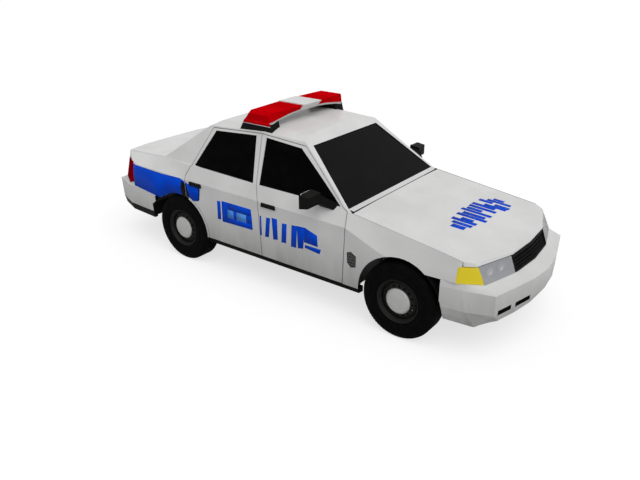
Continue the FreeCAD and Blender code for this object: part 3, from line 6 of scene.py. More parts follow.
import bmesh
import bpy
from mathutils import Matrix, Vector

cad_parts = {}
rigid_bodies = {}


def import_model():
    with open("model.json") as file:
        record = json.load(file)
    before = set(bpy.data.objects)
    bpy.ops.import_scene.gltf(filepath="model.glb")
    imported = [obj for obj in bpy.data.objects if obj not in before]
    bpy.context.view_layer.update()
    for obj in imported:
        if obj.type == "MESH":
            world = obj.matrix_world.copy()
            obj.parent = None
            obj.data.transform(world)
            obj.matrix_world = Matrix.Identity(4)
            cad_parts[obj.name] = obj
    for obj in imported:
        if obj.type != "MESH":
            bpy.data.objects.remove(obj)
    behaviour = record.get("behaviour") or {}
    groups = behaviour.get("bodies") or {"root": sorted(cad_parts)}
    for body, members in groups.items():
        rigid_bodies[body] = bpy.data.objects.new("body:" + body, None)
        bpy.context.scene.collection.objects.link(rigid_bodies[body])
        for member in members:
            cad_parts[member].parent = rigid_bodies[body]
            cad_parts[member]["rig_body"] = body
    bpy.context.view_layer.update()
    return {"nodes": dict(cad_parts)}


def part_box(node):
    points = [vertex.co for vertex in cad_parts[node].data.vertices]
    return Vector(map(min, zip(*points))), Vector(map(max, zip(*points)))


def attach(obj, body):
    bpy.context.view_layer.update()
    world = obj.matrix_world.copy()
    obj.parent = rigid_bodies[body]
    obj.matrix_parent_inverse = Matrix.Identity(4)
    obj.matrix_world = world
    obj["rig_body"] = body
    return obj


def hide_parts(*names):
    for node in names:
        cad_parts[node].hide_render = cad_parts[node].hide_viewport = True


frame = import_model()
nodes = frame["nodes"]
scene = bpy.context.scene


def body_of(node):
    return nodes[node]["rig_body"]


def middle(node):
    return sum(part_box(node), Vector()) / 2


def mm(table):
    """Millimetres as metres, in lists of any depth."""
    return table / 1000 if isinstance(table, (int, float)) else [mm(row) for row in table]


# ---- materials
def add_node(tree, kind, inputs=(), **props):
    """A shader node. Each input is a value, or the socket that feeds it."""
    node = tree.nodes.new(kind)
    for key, value in props.items():
        setattr(node, key, value)
    for key, value in dict(inputs).items():
        if isinstance(value, bpy.types.NodeSocket):
            tree.links.new(value, node.inputs[key])
        else:
            node.inputs[key].default_value = value
    return node


class Shade:
    """A procedural material on object coordinates, which are the car's own metres."""

    def __init__(self, name, **sockets):
        self.mat = bpy.data.materials.new(name)
        self.mat.use_nodes = True
        self.tree = self.mat.node_tree
        self.bsdf = self.tree.nodes["Principled BSDF"]
        self.coords = self.add("ShaderNodeTexCoord").outputs["Object"]
        for key, value in sockets.items():
            self.bsdf.inputs[key.replace("_", " ")].default_value = value

    def add(self, kind, inputs=(), **props):
        return add_node(self.tree, kind, inputs, **props)

    def noise(self, scale, detail=3.0, stretch=(1, 1, 1), rough=0.55):
        place = self.add("ShaderNodeMapping", {"Vector": self.coords, "Scale": stretch}).outputs[0]
        return self.add("ShaderNodeTexNoise", {"Vector": place, "Scale": scale, "Detail": detail,
                                               "Roughness": rough}).outputs["Fac"]

    def pores(self, scale):
        return self.add("ShaderNodeTexVoronoi", {"Vector": self.coords, "Scale": scale},
                        feature="DISTANCE_TO_EDGE").outputs["Distance"]

    def waves(self, scale, axis, distortion=0.0):
        return self.add("ShaderNodeTexWave", {"Vector": self.coords, "Scale": scale, "Distortion": distortion},
                        bands_direction=axis).outputs["Fac"]

    def math(self, operation, a, b):
        return self.add("ShaderNodeMath", {0: a, 1: b}, operation=operation).outputs[0]

    def scaled(self, value, low, high, to_low=0.0, to_high=1.0):
        return self.add("ShaderNodeMapRange", {"Value": value, "From Min": low, "From Max": high,
                                               "To Min": to_low, "To Max": to_high}).outputs[0]

    def patches(self, scale, detail=3.0, to_low=0.0, to_high=1.0):
        """Soft patches that run over the whole of a range."""
        return self.scaled(self.noise(scale, detail), 0.3, 0.7, to_low, to_high)

    def height(self):
        return self.add("ShaderNodeSeparateXYZ", {0: self.coords}).outputs["Z"]

    def mix(self, share, a, b):
        a, b = ((*value, 1.0) if isinstance(value, tuple) else value for value in (a, b))
        return self.add("ShaderNodeMix", {0: share, 6: a, 7: b}, data_type="RGBA").outputs[2]

    def set(self, socket, value):
        self.tree.links.new(value, self.bsdf.inputs[socket])

    def finish(self, colour, roughness, *layers):
        """Links what was made, and bumps: each a height, its depth in metres and its strength."""
        self.set("Base Color", colour)
        self.set("Roughness", roughness)
        under = {}
        for height, depth, strength in layers:
            node = self.add("ShaderNodeBump", {"Height": height, "Distance": depth, "Strength": strength, **under})
            under = {"Normal": node.outputs[0]}
        self.set("Normal", node.outputs[0])
        return self.mat


def hard(name, dark, light, rough, patch, grain, depth, level=0.5):
    """A solid finish: patchy colour, fine specks, uneven gloss and a fine grain."""
    s = Shade(name, Specular_IOR_Level=level)
    specks = s.scaled(s.noise(grain * 0.6, 2.0), 0.35, 0.65)
    base = s.mix(s.patches(patch, 5.0), dark, light)
    return s.finish(s.mix(s.math("MULTIPLY", specks, 0.25), base, light),
                    s.patches(patch * 4.0, 4.0, rough - 0.06, rough + 0.06), (s.noise(grain), depth, 0.35))


def paint(name, dark, light, rough=0.36):
    """Sprayed body paint: orange peel under a thin clear coat, road film and painted shade towards the sills."""
    s = Shade(name, Coat_Weight=0.05, Coat_Roughness=0.15, Specular_IOR_Level=0.14)
    base = s.mix(s.scaled(s.noise(2.2, 4.0), 0.35, 0.65), dark, light)
    # Painted shade with road film: the colour darkens, in streaks, from partway up the sides down to the sills.
    low = s.scaled(s.height(), FILM_AND_SHADE_FULL, FILM_AND_SHADE_NONE, 1.0, 0.0)
    streaks = s.scaled(s.noise(6.0, 6.0, (1.0, 1.0, 0.35), 0.65), 0.30, 0.70, 0.55, 1.0)
    film = s.math("MULTIPLY", s.math("POWER", low, 1.3), streaks)
    gloss = s.patches(14.0, 4.0, rough - 0.05, rough + 0.05)
    return s.finish(s.mix(s.math("MULTIPLY", film, 0.92), base, FILM_AND_SHADE_GREY),
                    s.math("ADD", gloss, s.math("MULTIPLY", film, 0.25)),
                    (s.noise(420.0, 2.0), 0.0002, 0.10), (s.noise(35.0, 2.0), 0.0004, 0.04))


def pane(name, alpha, tint, level):
    """Smoked glass with a little dust in patches."""
    s = Shade(name, Alpha=alpha, Specular_IOR_Level=level)
    dust = s.scaled(s.noise(7.0, 6.0, rough=0.7), 0.45, 0.8)
    return s.finish(s.mix(s.math("MULTIPLY", dust, 0.06), tint, (0.05, 0.05, 0.048)),
                    s.scaled(dust, 0.0, 1.0, 0.02, 0.10), (s.noise(3.0, 1.0), 0.0006, 0.05))


def lens(name, dark, light, axis, ribs, alpha=1.0, gloss=0.0):
    """A moulded lamp lens with ribs and prisms across them."""
    s = Shade(name, Alpha=alpha, Specular_IOR_Level=gloss)
    rib = s.waves(ribs, axis)
    prism = s.waves(ribs * 0.7, "Z")
    lines = s.math("MULTIPLY", rib, prism)
    return s.finish(s.mix(s.scaled(lines, 0.1, 0.7), dark, light), s.patches(30.0, 3.0, 0.11, 0.21),
                    (rib, 0.0012, 0.35), (prism, 0.0008, 0.25))


def cloth(name, dark, light, thread, sheen=0.25, rough=0.85):
    """Woven upholstery: crossing threads, slubs and a soft sheen."""
    s = Shade(name, Sheen_Weight=sheen, Sheen_Roughness=0.5, Specular_IOR_Level=0.25)
    over, under, up = (s.waves(thread, axis, 0.4) for axis in "XYZ")
    weave = s.math("MULTIPLY", s.math("ADD", over, up), under)
    worn = s.scaled(s.noise(5.0, 5.0), 0.35, 0.7)
    base = s.mix(s.scaled(weave, 0.2, 1.4), dark, light)
    return s.finish(s.mix(s.math("MULTIPLY", worn, 0.3), base, light),
                    s.patches(40.0, 3.0, rough - 0.08, rough + 0.05),
                    (weave, 0.0006, 0.6), (s.noise(60.0), 0.0008, 0.25))


def leather(name, dark, light, rough):
    """Embossed vinyl or leather, with a grain of shallow pores."""
    s = Shade(name, Specular_IOR_Level=0.4)
    return s.finish(s.mix(s.patches(8.0, 5.0), dark, light), s.patches(25.0, 3.0, rough - 0.08, rough + 0.08),
                    (s.scaled(s.pores(240.0), 0.0, 0.12), 0.0006, 0.5), (s.noise(40.0), 0.0008, 0.2))


def rubber(name, dark, light, rough=0.8):
    """Dull rubber with road dust in patches."""
    s = Shade(name, Specular_IOR_Level=0.03)
    dust = s.scaled(s.noise(12.0, 6.0, rough=0.7), 0.45, 0.75)
    return s.finish(s.mix(s.math("MULTIPLY", dust, 0.6), dark, light),
                    s.patches(60.0, 3.0, rough - 0.08, rough + 0.08),
                    (s.noise(700.0, 2.0), 0.0002, 0.4), (s.noise(90.0), 0.0004, 0.2))


def metal(name, dark, light, rough, metallic=1.0, grain=500.0, rust=0.0):
    """Bare or cast metal, with spots of rust where rust isn't zero."""
    s = Shade(name, Metallic=metallic)
    base = s.mix(s.patches(7.0, 5.0), dark, light)
    if rust:
        spots = s.scaled(s.noise(26.0, 8.0, rough=0.7), 0.52, 0.66)
        base = s.mix(s.math("MULTIPLY", spots, rust), base, (0.10, 0.045, 0.022))
    return s.finish(base, s.patches(30.0, 5.0, rough - 0.08, rough + 0.08), (s.noise(grain), 0.0002, 0.3))


# The grey that body paint turns towards the sills: road film, with painted shade of the low sides.
FILM_AND_SHADE_GREY = (0.26, 0.255, 0.245)
FILM_AND_SHADE_FULL, FILM_AND_SHADE_NONE = 0.28, 0.86  # heights where the road film and painted shade are thickest and where they end

WHITE = paint("paint_white", (0.70, 0.70, 0.695), (0.77, 0.77, 0.765))
BUMPER_WHITE = paint("bumper_white", (0.72, 0.72, 0.715), (0.79, 0.79, 0.785), 0.42)
BLUE = hard("film_blue", (0.0005, 0.060, 0.62), (0.001, 0.078, 0.74), 0.5, 3.0, 500.0, 0.0001, 0.05)
BLUE_PALE = hard("film_blue_pale", (0.04, 0.22, 0.80), (0.12, 0.38, 0.86), 0.5, 3.0, 500.0, 0.0001, 0.05)
BLACK = hard("plastic_black", (0.004, 0.004, 0.004), (0.010, 0.010, 0.0095), 0.6, 9.0, 380.0, 0.0003, 0.04)
GREY_PLASTIC = hard("plastic_grey", (0.045, 0.045, 0.046), (0.07, 0.07, 0.071), 0.6, 9.0, 380.0, 0.0003)
SILL = rubber("sill_black", (0.003, 0.003, 0.003), (0.010, 0.0095, 0.009), 0.7)
TYRE = rubber("tyre_rubber", (0.0025, 0.0025, 0.0025), (0.0075, 0.0073, 0.0068))
SEAL = rubber("seal_rubber", (0.006, 0.006, 0.006), (0.012, 0.012, 0.012), 0.65)
WINDSCREEN = pane("glass_windscreen", 0.92, (0.008, 0.008, 0.008), 0.02)
SIDE_GLASS = pane("glass_side", 0.955, (0.001, 0.0012, 0.0012), 0.012)
CAP = metal("wheel_cap", (0.42, 0.42, 0.42), (0.50, 0.50, 0.49), 0.5, 0.3, 300.0)
RIM = hard("rim_black", (0.006, 0.006, 0.006), (0.014, 0.014, 0.013), 0.5, 10.0, 300.0, 0.0002, 0.10)
STEEL = metal("steel_bare", (0.32, 0.32, 0.33), (0.46, 0.46, 0.46), 0.42, rust=0.25)
CAST = metal("iron_cast", (0.10, 0.10, 0.10), (0.17, 0.17, 0.165), 0.62, 0.6, grain=160.0, rust=0.4)
ALLOY = metal("alloy_cast", (0.42, 0.43, 0.44), (0.56, 0.56, 0.57), 0.5, 0.9, grain=120.0)
EXHAUST = metal("exhaust_steel", (0.22, 0.20, 0.18), (0.36, 0.34, 0.31), 0.5, 0.9, rust=0.5)
FRAME = hard("chassis_black", (0.012, 0.012, 0.012), (0.03, 0.029, 0.027), 0.6, 5.0, 220.0, 0.0005)
UNDERCOAT = hard("undercoat", (0.016, 0.016, 0.016), (0.035, 0.034, 0.031), 0.85, 4.0, 130.0, 0.0012)
RED = lens("lens_red", (0.56, 0.0003, 0.003), (0.74, 0.0006, 0.005), "Y", 60.0)
TAIL_RED = lens("tail_red", (0.24, 0.0003, 0.006), (0.36, 0.0006, 0.010), "Y", 110.0)
AMBER = lens("lens_amber", (0.86, 0.66, 0.020), (0.96, 0.84, 0.075), "Z", 90.0, gloss=0.06)
CLEAR = lens("lens_clear", (0.44, 0.45, 0.475), (0.60, 0.61, 0.64), "Y", 70.0, 0.66, 0.2)
REFLECTOR = metal("lamp_reflector", (0.60, 0.61, 0.62), (0.74, 0.75, 0.76), 0.22, 1.0, 260.0)
MIRROR = metal("mirror_glass", (0.62, 0.64, 0.65), (0.72, 0.74, 0.75), 0.06, 1.0, 90.0)
DIAL = hard("dial_face", (0.010, 0.010, 0.011), (0.020, 0.020, 0.021), 0.4, 20.0, 600.0, 0.0001)
MARK = hard("dial_marks", (0.60, 0.60, 0.58), (0.72, 0.72, 0.70), 0.5, 30.0, 600.0, 0.0001)
BAND = paint("bar_band", (0.50, 0.50, 0.495), (0.58, 0.58, 0.575), 0.45)
CARPET = cloth("carpet", (0.030, 0.030, 0.032), (0.060, 0.060, 0.063), 260.0, 0.3, 0.95)
HEADLINER = cloth("headliner", (0.20, 0.195, 0.185), (0.28, 0.27, 0.255), 500.0, 0.2, 0.9)
SEAT = cloth("seat_cloth", (0.095, 0.098, 0.106), (0.165, 0.170, 0.182), 380.0)
TRIM = leather("trim_vinyl", (0.085, 0.085, 0.088), (0.125, 0.125, 0.130), 0.6)
DASH = leather("dash_vinyl", (0.038, 0.038, 0.040), (0.062, 0.062, 0.064), 0.65)
GRIP = leather("wheel_leather", (0.010, 0.010, 0.010), (0.02, 0.02, 0.02), 0.45)


# ---- dressing the CAD nodes
def soften(obj, width, angle=28.0, segments=2):
    """Rounds the sharp edges of a CAD node a little, as pressed and moulded parts have."""
    flat = obj.modifiers.new("flat", "DECIMATE")
    flat.decimate_type = "DISSOLVE"
    flat.angle_limit = math.radians(0.6)
    flat.delimit = {"MATERIAL"}
    edge = obj.modifiers.new("edge", "BEVEL")
    edge.width = width
    edge.segments = segments
    edge.limit_method = "ANGLE"
    edge.angle_limit = math.radians(angle)
    edge.harden_normals = True
    edge.miter_outer = "MITER_ARC"


def smooth(mesh, angle=None):
    """Shades a mesh smoothly, and keeps edges sharper than angle."""
    mesh.polygons.foreach_set("use_smooth", [True] * len(mesh.polygons))
    if angle is not None:
        for edge in mesh.edges:
            edge.use_edge_sharp = False
        mesh.set_sharp_from_angle(angle=math.radians(angle))


def dress(name, base, rules=(), width=0.0, angle=28.0, smoothing=30.0):
    """Gives a node its finish. Each rule is a material and a test on a face's centre and normal."""
    obj = nodes[name]
    obj.data.materials.clear()
    obj.data.materials.append(base)
    for material, _ in rules:
        obj.data.materials.append(material)
    for polygon in obj.data.polygons:
        polygon.material_index = 0
        for i, (_, test) in enumerate(rules):
            if test(polygon.center, polygon.normal):
                polygon.material_index = i + 1
                break
    smooth(obj.data, smoothing)
    if width:
        soften(obj, width, angle)


SIDE_OF = {"left": 1.0, "right": -1.0}


def sides(*names):
    return [f"{side}_{name}" for name in names for side in SIDE_OF]


def outward(c, n):
    """How far a face's normal looks away from the car's middle plane."""
    return n.y * math.copysign(1.0, c.y)


def cap_face(centre):
    """A test for the faces of the cap in the middle of a wheel."""
    return lambda c, n: abs(c.y) > CAP_Y and math.hypot(c.x - centre.x, c.z - centre.z) < CAP_R


CREASED = 12.0  # edges sharper than this stay sharp on pressed panels
CAP_Y, CAP_R = 0.8975, 0.127
SKIN_Y = 0.9325  # handles and mouldings stand outside the doors' skin
CABIN_Y = 0.80  # the sills' and pillars' inner faces lie inside this
AXLES = {end: middle(f"right_{end}_wheel") for end in ("front", "rear")}
DOOR_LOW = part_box("right_front_door")[0].z
SLOT_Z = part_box("front_bumper")[1].z - 0.247  # middle of the front bumper's slots
SLOT_MESH_X = (2.360, 2.366)
BUMPER_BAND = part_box("rear_bumper")[0].z + 0.078  # top of the rear bumper's black strip
VENT_X, VENT_Z = AXLES["front"].x - 0.523, DOOR_LOW + 0.291  # middle of the vent behind the front wheel
BAR_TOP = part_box("light_bar_base")[1].z
BAR_ARCH = [(0.0, -0.080), (0.150, -0.080), (0.320, -0.090), (0.640, -0.135)]


def bar_under(y):
    """The underside of the light bar's tray, which arches over the roof."""
    for (y0, z0), (y1, z1) in zip(BAR_ARCH, BAR_ARCH[1:]):
        if abs(y) <= y1:
            return BAR_TOP + z0 + (z1 - z0) * (abs(y) - y0) / (y1 - y0)
    return BAR_TOP + BAR_ARCH[-1][1]


def in_vent(c, n):
    """Whether a face of a front fender is in its vent, under the outer skin."""
    if abs(c.x - VENT_X) > 0.056 or abs(c.z - VENT_Z) > 0.088:
        return False
    # The skin bulges from 0.912 at the sill to the crease, which falls towards the front.
    crease = DOOR_LOW + 0.608 - 0.392 * (c.x - VENT_X + 0.074)
    skin = 0.912 + 0.020 * (c.z - DOOR_LOW + 0.074) / (crease - DOOR_LOW + 0.074)
    return abs(c.y) < skin - 0.0015


def inner(c, n):
    """Whether a face looks inward."""
    return outward(c, n) < -0.3


dress("roof_panel", WHITE, [(HEADLINER, lambda c, n: n.z < -0.2)], 0.002, smoothing=CREASED)
dress("body_sides", WHITE, [
    (SILL, lambda c, n: c.z < DOOR_LOW - 0.0075),
    (STEEL, lambda c, n: abs(c.y) > 0.85 and 0.58 < c.z < 1.0 and c.x > -0.36 and n.z ** 2 > 0.98),  # hinges
    (TRIM, lambda c, n: inner(c, n) and abs(c.y) < CABIN_Y),
    (CARPET, lambda c, n: n.z > 0.9 and c.z < 0.5 and abs(c.y) < CABIN_Y + 0.01),
], smoothing=CREASED)
for name in ("windshield", "rear_window"):
    dress(name, WINDSCREEN, smoothing=20.0)
for name in ("hood", "trunk_lid"):  # their hinge arms are bare steel
    dress(name, WHITE, [(STEEL, lambda c, n: abs(c.x) < 1.9 and 0.5 < abs(c.y) < 0.66 and c.z < 1.08
                         and abs(n.y) > 0.9 and abs(n.z) < 0.2)], 0.002, smoothing=CREASED)
dress("front_fenders", WHITE, [(GREY_PLASTIC, in_vent), (BLACK, inner)], 0.0015, smoothing=CREASED)
dress("quarter_panels", WHITE, [(UNDERCOAT, inner)], 0.0015, smoothing=CREASED)
dress("nose_panel", BLACK)
dress("grille", BLACK, width=0.0008)
for name, material in (("headlamps", CLEAR), ("turn_signals", AMBER), ("tail_lamps", TAIL_RED)):
    dress(name, material, smoothing=CREASED)
dress("cowl_panel", WHITE, [(BLACK, lambda c, n: n.z < 0.3)])
dress("front_bumper", BUMPER_WHITE, [
    (BLACK, lambda c, n: n.x < -0.3 and abs(c.y) < 0.62),
    (BLACK, lambda c, n: c.x > 2.2 and abs(c.z - SLOT_Z) < 0.027 and abs(n.x) < 0.3 and 0.29 < abs(c.y) < 0.76),
], 0.003, smoothing=CREASED)
dress("rear_bumper", BUMPER_WHITE, [(BLACK, lambda c, n: n.x > 0.5 or c.z < BUMPER_BAND)], 0.003,
      smoothing=CREASED)
dress("floor_pan", UNDERCOAT, [
    (CARPET, lambda c, n: n.z > 0.3 and c.x < 0.95),
    (CARPET, lambda c, n: c.z > 0.32 and abs(n.z) < 0.2 and -1.0 < c.x < 0.93 and abs(c.y) < 0.2),
])
dress("rear_bulkhead", TRIM)
dress("wheel_liners", BLACK)
dress("chassis_frame", FRAME, width=0.003)
dress("engine", CAST, width=0.006)
dress("driveline", ALLOY)
dress("fuel_tank", FRAME, width=0.012)
dress("front_suspension", FRAME, width=0.002)
dress("rear_axle", CAST)
dress("exhaust", EXHAUST, smoothing=50.0)
dress("dashboard", DASH, width=0.008)
dress("steering_wheel", GRIP, smoothing=60.0)
dress("seats", SEAT)
dress("light_bar_base", BLACK, [
    (WHITE, lambda c, n: abs(c.y) < 0.1495 and c.z > bar_under(0.0) + 0.015),
    (BAND, lambda c, n: -0.001 < c.z - bar_under(c.y) < 0.0215),
], 0.002)
dress("light_bar_lenses", RED, width=0.008, smoothing=40.0)
for name in sides("front_door", "rear_door"):
    dress(name, WHITE, [
        (BLACK, lambda c, n: abs(c.y) > SKIN_Y),  # handle
        (TRIM, lambda c, n: outward(c, n) < -0.5 and abs(c.y) < 0.84 and c.z < 1.16),
        (STEEL, lambda c, n: abs(n.z) > 0.98 and abs(c.y) > 0.89 and 0.55 < c.z < 1.0),  # hinges
    ], 0.0018, 40.0, CREASED)
for name in sides("front_door_glass", "rear_door_glass"):
    dress(name, SIDE_GLASS)
for name in sides("door_mirror"):
    dress(name, BLACK, width=0.006)
for name in sides("knuckle"):
    dress(name, CAST)
for name in sides("front_wheel", "rear_wheel"):
    dress(name, RIM, [(CAP, cap_face(middle(name)))], smoothing=35.0)
for name in sides("front_tyre", "rear_tyre"):
    dress(name, TYRE, smoothing=35.0)


# ---- making pieces
PLANES = {"xz": lambda a, b, d: (a, d, b), "xy": lambda a, b, d: (a, b, d), "yz": lambda a, b, d: (d, a, b)}


def piece(name, mesh, material, body, place=None):
    """An object that rides on a body. Its mesh keeps its own materials where material is None."""
    obj = bpy.data.objects.new(name, mesh)
    scene.collection.objects.link(obj)
    if material is not None:
        mesh.materials.clear()  # also puts every face on the first slot
        mesh.materials.append(material)
    if place is not None:
        obj.matrix_world = place
    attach(obj, body)
    return obj


def edges_of(outline):
    return list(zip(outline, outline[1:] + outline[:1]))


def handed(outline):
    """1 for an outline that runs counterclockwise, -1 for one that runs clockwise."""
    return math.copysign(1.0, sum(a[0] * b[1] - b[0] * a[1] for a, b in edges_of(outline)))


def grown(outline, distance):
    """An outline's corners moved out by distance, or in where it is negative."""
    side = handed(outline)
    moved = []
    for before, (here, after) in zip(outline[-1:] + outline[:-1], edges_of(outline)):
        normals = []
        for start, end in ((before, here), (here, after)):
            run = Vector((end[0] - start[0], end[1] - start[1])).normalized()
            normals.append(Vector((side * run.y, -side * run.x)))
        joint = normals[0] + normals[1]
        moved.append(tuple(Vector(here) + joint * (distance / (1.0 + normals[0].dot(normals[1])))))
    return moved


def cut_outline(bm, outline, plane):
    """Cuts a mesh along a convex outline, and keeps what is inside it."""
    side = handed(outline)
    for a, b in edges_of(outline):
        out = (side * (b[1] - a[1]), -side * (b[0] - a[0]))
        bmesh.ops.bisect_plane(bm, geom=bm.verts[:] + bm.edges[:] + bm.faces[:], plane_co=PLANES[plane](*a, 0),
                               plane_no=Vector(PLANES[plane](*out, 0)).normalized(), clear_outer=True, dist=1e-6)


def clean(bm, distance=1e-5, angle=0.3):
    """Joins doubled vertices and dissolves edges between faces that lie flat."""
    bmesh.ops.remove_doubles(bm, verts=bm.verts[:], dist=distance)
    bmesh.ops.dissolve_limit(bm, angle_limit=math.radians(angle), verts=bm.verts[:], edges=bm.edges[:])


def rectangle(x0, x1, z0, z1):
    return [(x0, z0), (x1, z0), (x1, z1), (x0, z1)]


def inside(point, outline):
    """Whether a point is in an outline, by the crossings of a ray."""
    found = False
    for (ax, ay), (bx, by) in edges_of(outline):
        if (ay > point[1]) != (by > point[1]) and point[0] < (bx - ax) * (point[1] - ay) / (by - ay) + ax:
            found = not found
    return found


def film(name, node, outline, plane, material, facing, test, depth):
    """A film cut to a convex outline, on a panel's faces that look along facing and pass the test."""
    bm = bmesh.new()
    bm.from_mesh(nodes[node].data)
    out = [f for f in bm.faces if f.normal.dot(Vector(facing)) < 0.35 or not test(f.calc_center_median())]
    bmesh.ops.delete(bm, geom=out, context="FACES")
    bmesh.ops.remove_doubles(bm, verts=bm.verts[:], dist=1e-5)
    cut_outline(bm, outline, plane)
    clean(bm)
    if not bm.faces:
        bm.free()
        return None
    bm.normal_update()
    for vertex in bm.verts:
        vertex.co += vertex.normal * FILM_LIFT
    mesh = bpy.data.meshes.new(name)
    bm.to_mesh(mesh)
    bm.free()
    obj = piece(name, mesh, material, body_of(node))
    thick = obj.modifiers.new("thickness", "SOLIDIFY")
    thick.thickness = depth
    thick.offset = 1.0
    return obj


def split_convex(outline):
    """Ear-cuts an outline into triangles, in the order of its corners."""
    points = list(outline if handed(outline) > 0 else outline[::-1])
    triangles = []
    while len(points) > 3:
        for i in range(len(points)):
            a, b, c = points[i - 1], points[i], points[(i + 1) % len(points)]
            turn = (b[0] - a[0]) * (c[1] - b[1]) - (b[1] - a[1]) * (c[0] - b[0])
            others = [p for p in points if p not in (a, b, c)]
            if turn > 0 and not any(inside(p, [a, b, c]) for p in others):
                triangles.append([a, b, c])
                points.pop(i)
                break
        else:
            break
    return triangles + [points]


def films(name, node, outline, *rest):
    """A film of any outline, cut in triangles and joined into one piece."""
    made = [film(f"{name}_{i}", node, part, *rest) for i, part in enumerate(split_convex(outline))]
    keep, *others = [obj for obj in made if obj]
    bm = bmesh.new()
    for obj in (keep, *others):
        bm.from_mesh(obj.data)
    clean(bm, 2e-5)
    bm.to_mesh(keep.data)
    bm.free()
    for obj in others:
        bpy.data.objects.remove(obj)
    keep.name = name


# ---- films
# The side's films in side view: the blue stripe over quarter panel and rear door, with its dark wedge and broken end,
# and the tail lamp's red carried on over the end of the quarter panel.
QUARTER_STRIPE = mm([(-2196, 1006), (-2142, 1003), (-1628, 1003), (-1324, 1012), (-1232, 985), (-1232, 700),
                     (-1715, 660), (-2196, 711)])
DOOR_STRIPE = mm([(-1250, 990), (-1180, 966), (-1000, 958), (-1016, 860), (-1045, 792), (-1140, 775), (-1250, 790)])
WEDGE = mm([(-1290, 992), (-1222, 955), (-1193, 824), (-1205, 770), (-1297, 755), (-1326, 890)])
BROKEN_END = mm([(-1020, 948), (-1006, 944), (-1026, 810), (-1042, 800)])
LAMP_END = mm([(-2400, 760), (-2198, 770), (-2198, 1030), (-2400, 1030)])

# Slanted blocks in the place of the doors' lettering, in side view.
DOOR_BLOCKS = {
    "rear_door": mm([
        [(-752, 652), (-700, 655), (-690, 874), (-742, 870)], [(-682, 638), (-598, 640), (-588, 885), (-672, 884)],
        [(-598, 640), (-235, 650), (-233, 712), (-595, 710)], [(-592, 800), (-240, 800), (-242, 886), (-589, 885)],
        [(-508, 710), (-458, 711), (-455, 801), (-505, 801)], [(-322, 711), (-235, 712), (-236, 801), (-318, 801)]]),
    "front_door": mm([
        [(-128, 620), (-106, 624), (-100, 850), (-122, 848)], [(-62, 622), (-8, 625), (24, 852), (-30, 848)],
        [(52, 618), (114, 630), (118, 864), (44, 862)], [(162, 616), (226, 622), (244, 842), (182, 836)],
        [(290, 602), (358, 608), (380, 855), (308, 848)], [(380, 610), (448, 622), (482, 864), (376, 857)],
        [(462, 700), (636, 694), (630, 816), (480, 864)], [(470, 640), (655, 620), (676, 674), (474, 674)]]),
}
PALE_BLOCKS = mm([[(-597, 712), (-510, 712), (-507, 798), (-592, 798)],
                  [(-456, 713), (-324, 713), (-320, 798), (-453, 798)]])
# Blocks on the hood: rear end x, right edge y, length and width.
HOOD_BLOCKS = mm([
    (1760, -352, 130, 76), (1730, -268, 190, 58), (1690, -200, 240, 60), (1758, -132, 120, 56), (1680, -66, 290, 56),
    (1710, 0, 220, 60), (1660, 72, 300, 54), (1690, 138, 150, 56), (1680, 206, 270, 56), (1680, 276, 230, 60),
    (1780, 350, 220, 52), (1690, 414, 140, 60), (1860, 414, 150, 60), (1750, 488, 240, 56), (1790, 556, 110, 50)])
HOOD_SLANT = 0.16
FILM, TAPE = 0.0006, 0.0014  # thicknesses
FILM_LIFT = 0.00015  # a film's back face lies this far off its panel
SIDE_FILMS = (
    ("quarter_stripe", "quarter_panels", QUARTER_STRIPE, BLUE, FILM),
    ("lamp_end", "quarter_panels", LAMP_END, TAIL_RED, FILM),
    ("door_stripe", "{side}_rear_door", DOOR_STRIPE, BLUE, FILM),
    ("quarter_wedge", "quarter_panels", WEDGE, SEAL, TAPE),
    ("door_wedge", "{side}_rear_door", WEDGE, SEAL, TAPE),
    ("door_sliver", "{side}_rear_door", BROKEN_END, SEAL, TAPE),
)
TRAY_Z = bar_under(1.0)  # the tray's underside over the light bar's feet
BAR_FILMS = (("skirt", RED, -0.016, 0.030), ("line", BAND, -0.024, -0.016))

for side, sign in SIDE_OF.items():
    facing = (0.0, sign, 0.0)
    outer = lambda c, s=sign: c.y * s > 0.55
    for name, node, outline, material, depth in SIDE_FILMS:
        films(f"{side}_{name}", node.format(side=side), outline, "xz", material, facing, outer, depth)
    for door_name, blocks in DOOR_BLOCKS.items():
        for i, outline in enumerate(blocks):
            film(f"{side}_{door_name}_block_{i}", f"{side}_{door_name}", outline, "xz", BLUE, facing, outer, FILM)
    for i, outline in enumerate(PALE_BLOCKS):
        film(f"{side}_pale_block_{i}", f"{side}_rear_door", outline, "xz", BLUE_PALE, facing, outer, FILM)

# The light bar's lenses seem to hang over the ends of its feet, above a pale line.
for side, sign in SIDE_OF.items():
    end = lambda c, s=sign: c.y * s > 0.5 and c.z < TRAY_Z + 0.030
    for name, material, low, high in BAR_FILMS:
        film(f"{side}_bar_{name}", "light_bar_base", rectangle(-0.70, -0.05, TRAY_Z + low, TRAY_Z + high), "xz",
             material, (0.0, sign, 0.0), end, FILM)

for i, (x, y, run, width) in enumerate(HOOD_BLOCKS):
    shift = run * HOOD_SLANT
    outline = [(x, y), (x + run, y + shift), (x + run, y + shift + width), (x, y + width)]
    film(f"hood_block_{i}", "hood", outline, "xy", BLUE, (0, 0, 1), lambda c: c.z > 0.88, FILM)


# ---- mesh makers
def mesh_from(name, verts, faces, smooth_angle=30.0):
    mesh = bpy.data.meshes.new(name)
    mesh.from_pydata(verts, [], faces)
    bm = bmesh.new()
    bm.from_mesh(mesh)
    bmesh.ops.recalc_face_normals(bm, faces=bm.faces[:])
    bm.to_mesh(mesh)
    bm.free()
    smooth(mesh, smooth_angle)
    return mesh


def prism(name, outline, plane, low, high):
    """The mesh between two copies of an outline, at two depths."""
    count = len(outline)
    verts = [PLANES[plane](a, b, d) for d in (low, high) for a, b in outline]
    faces = [tuple(range(count)), tuple(range(2 * count - 1, count - 1, -1))]
    faces += [(i, (i + 1) % count, (i + 1) % count + count, i + count) for i in range(count)]
    return mesh_from(name, verts, faces)


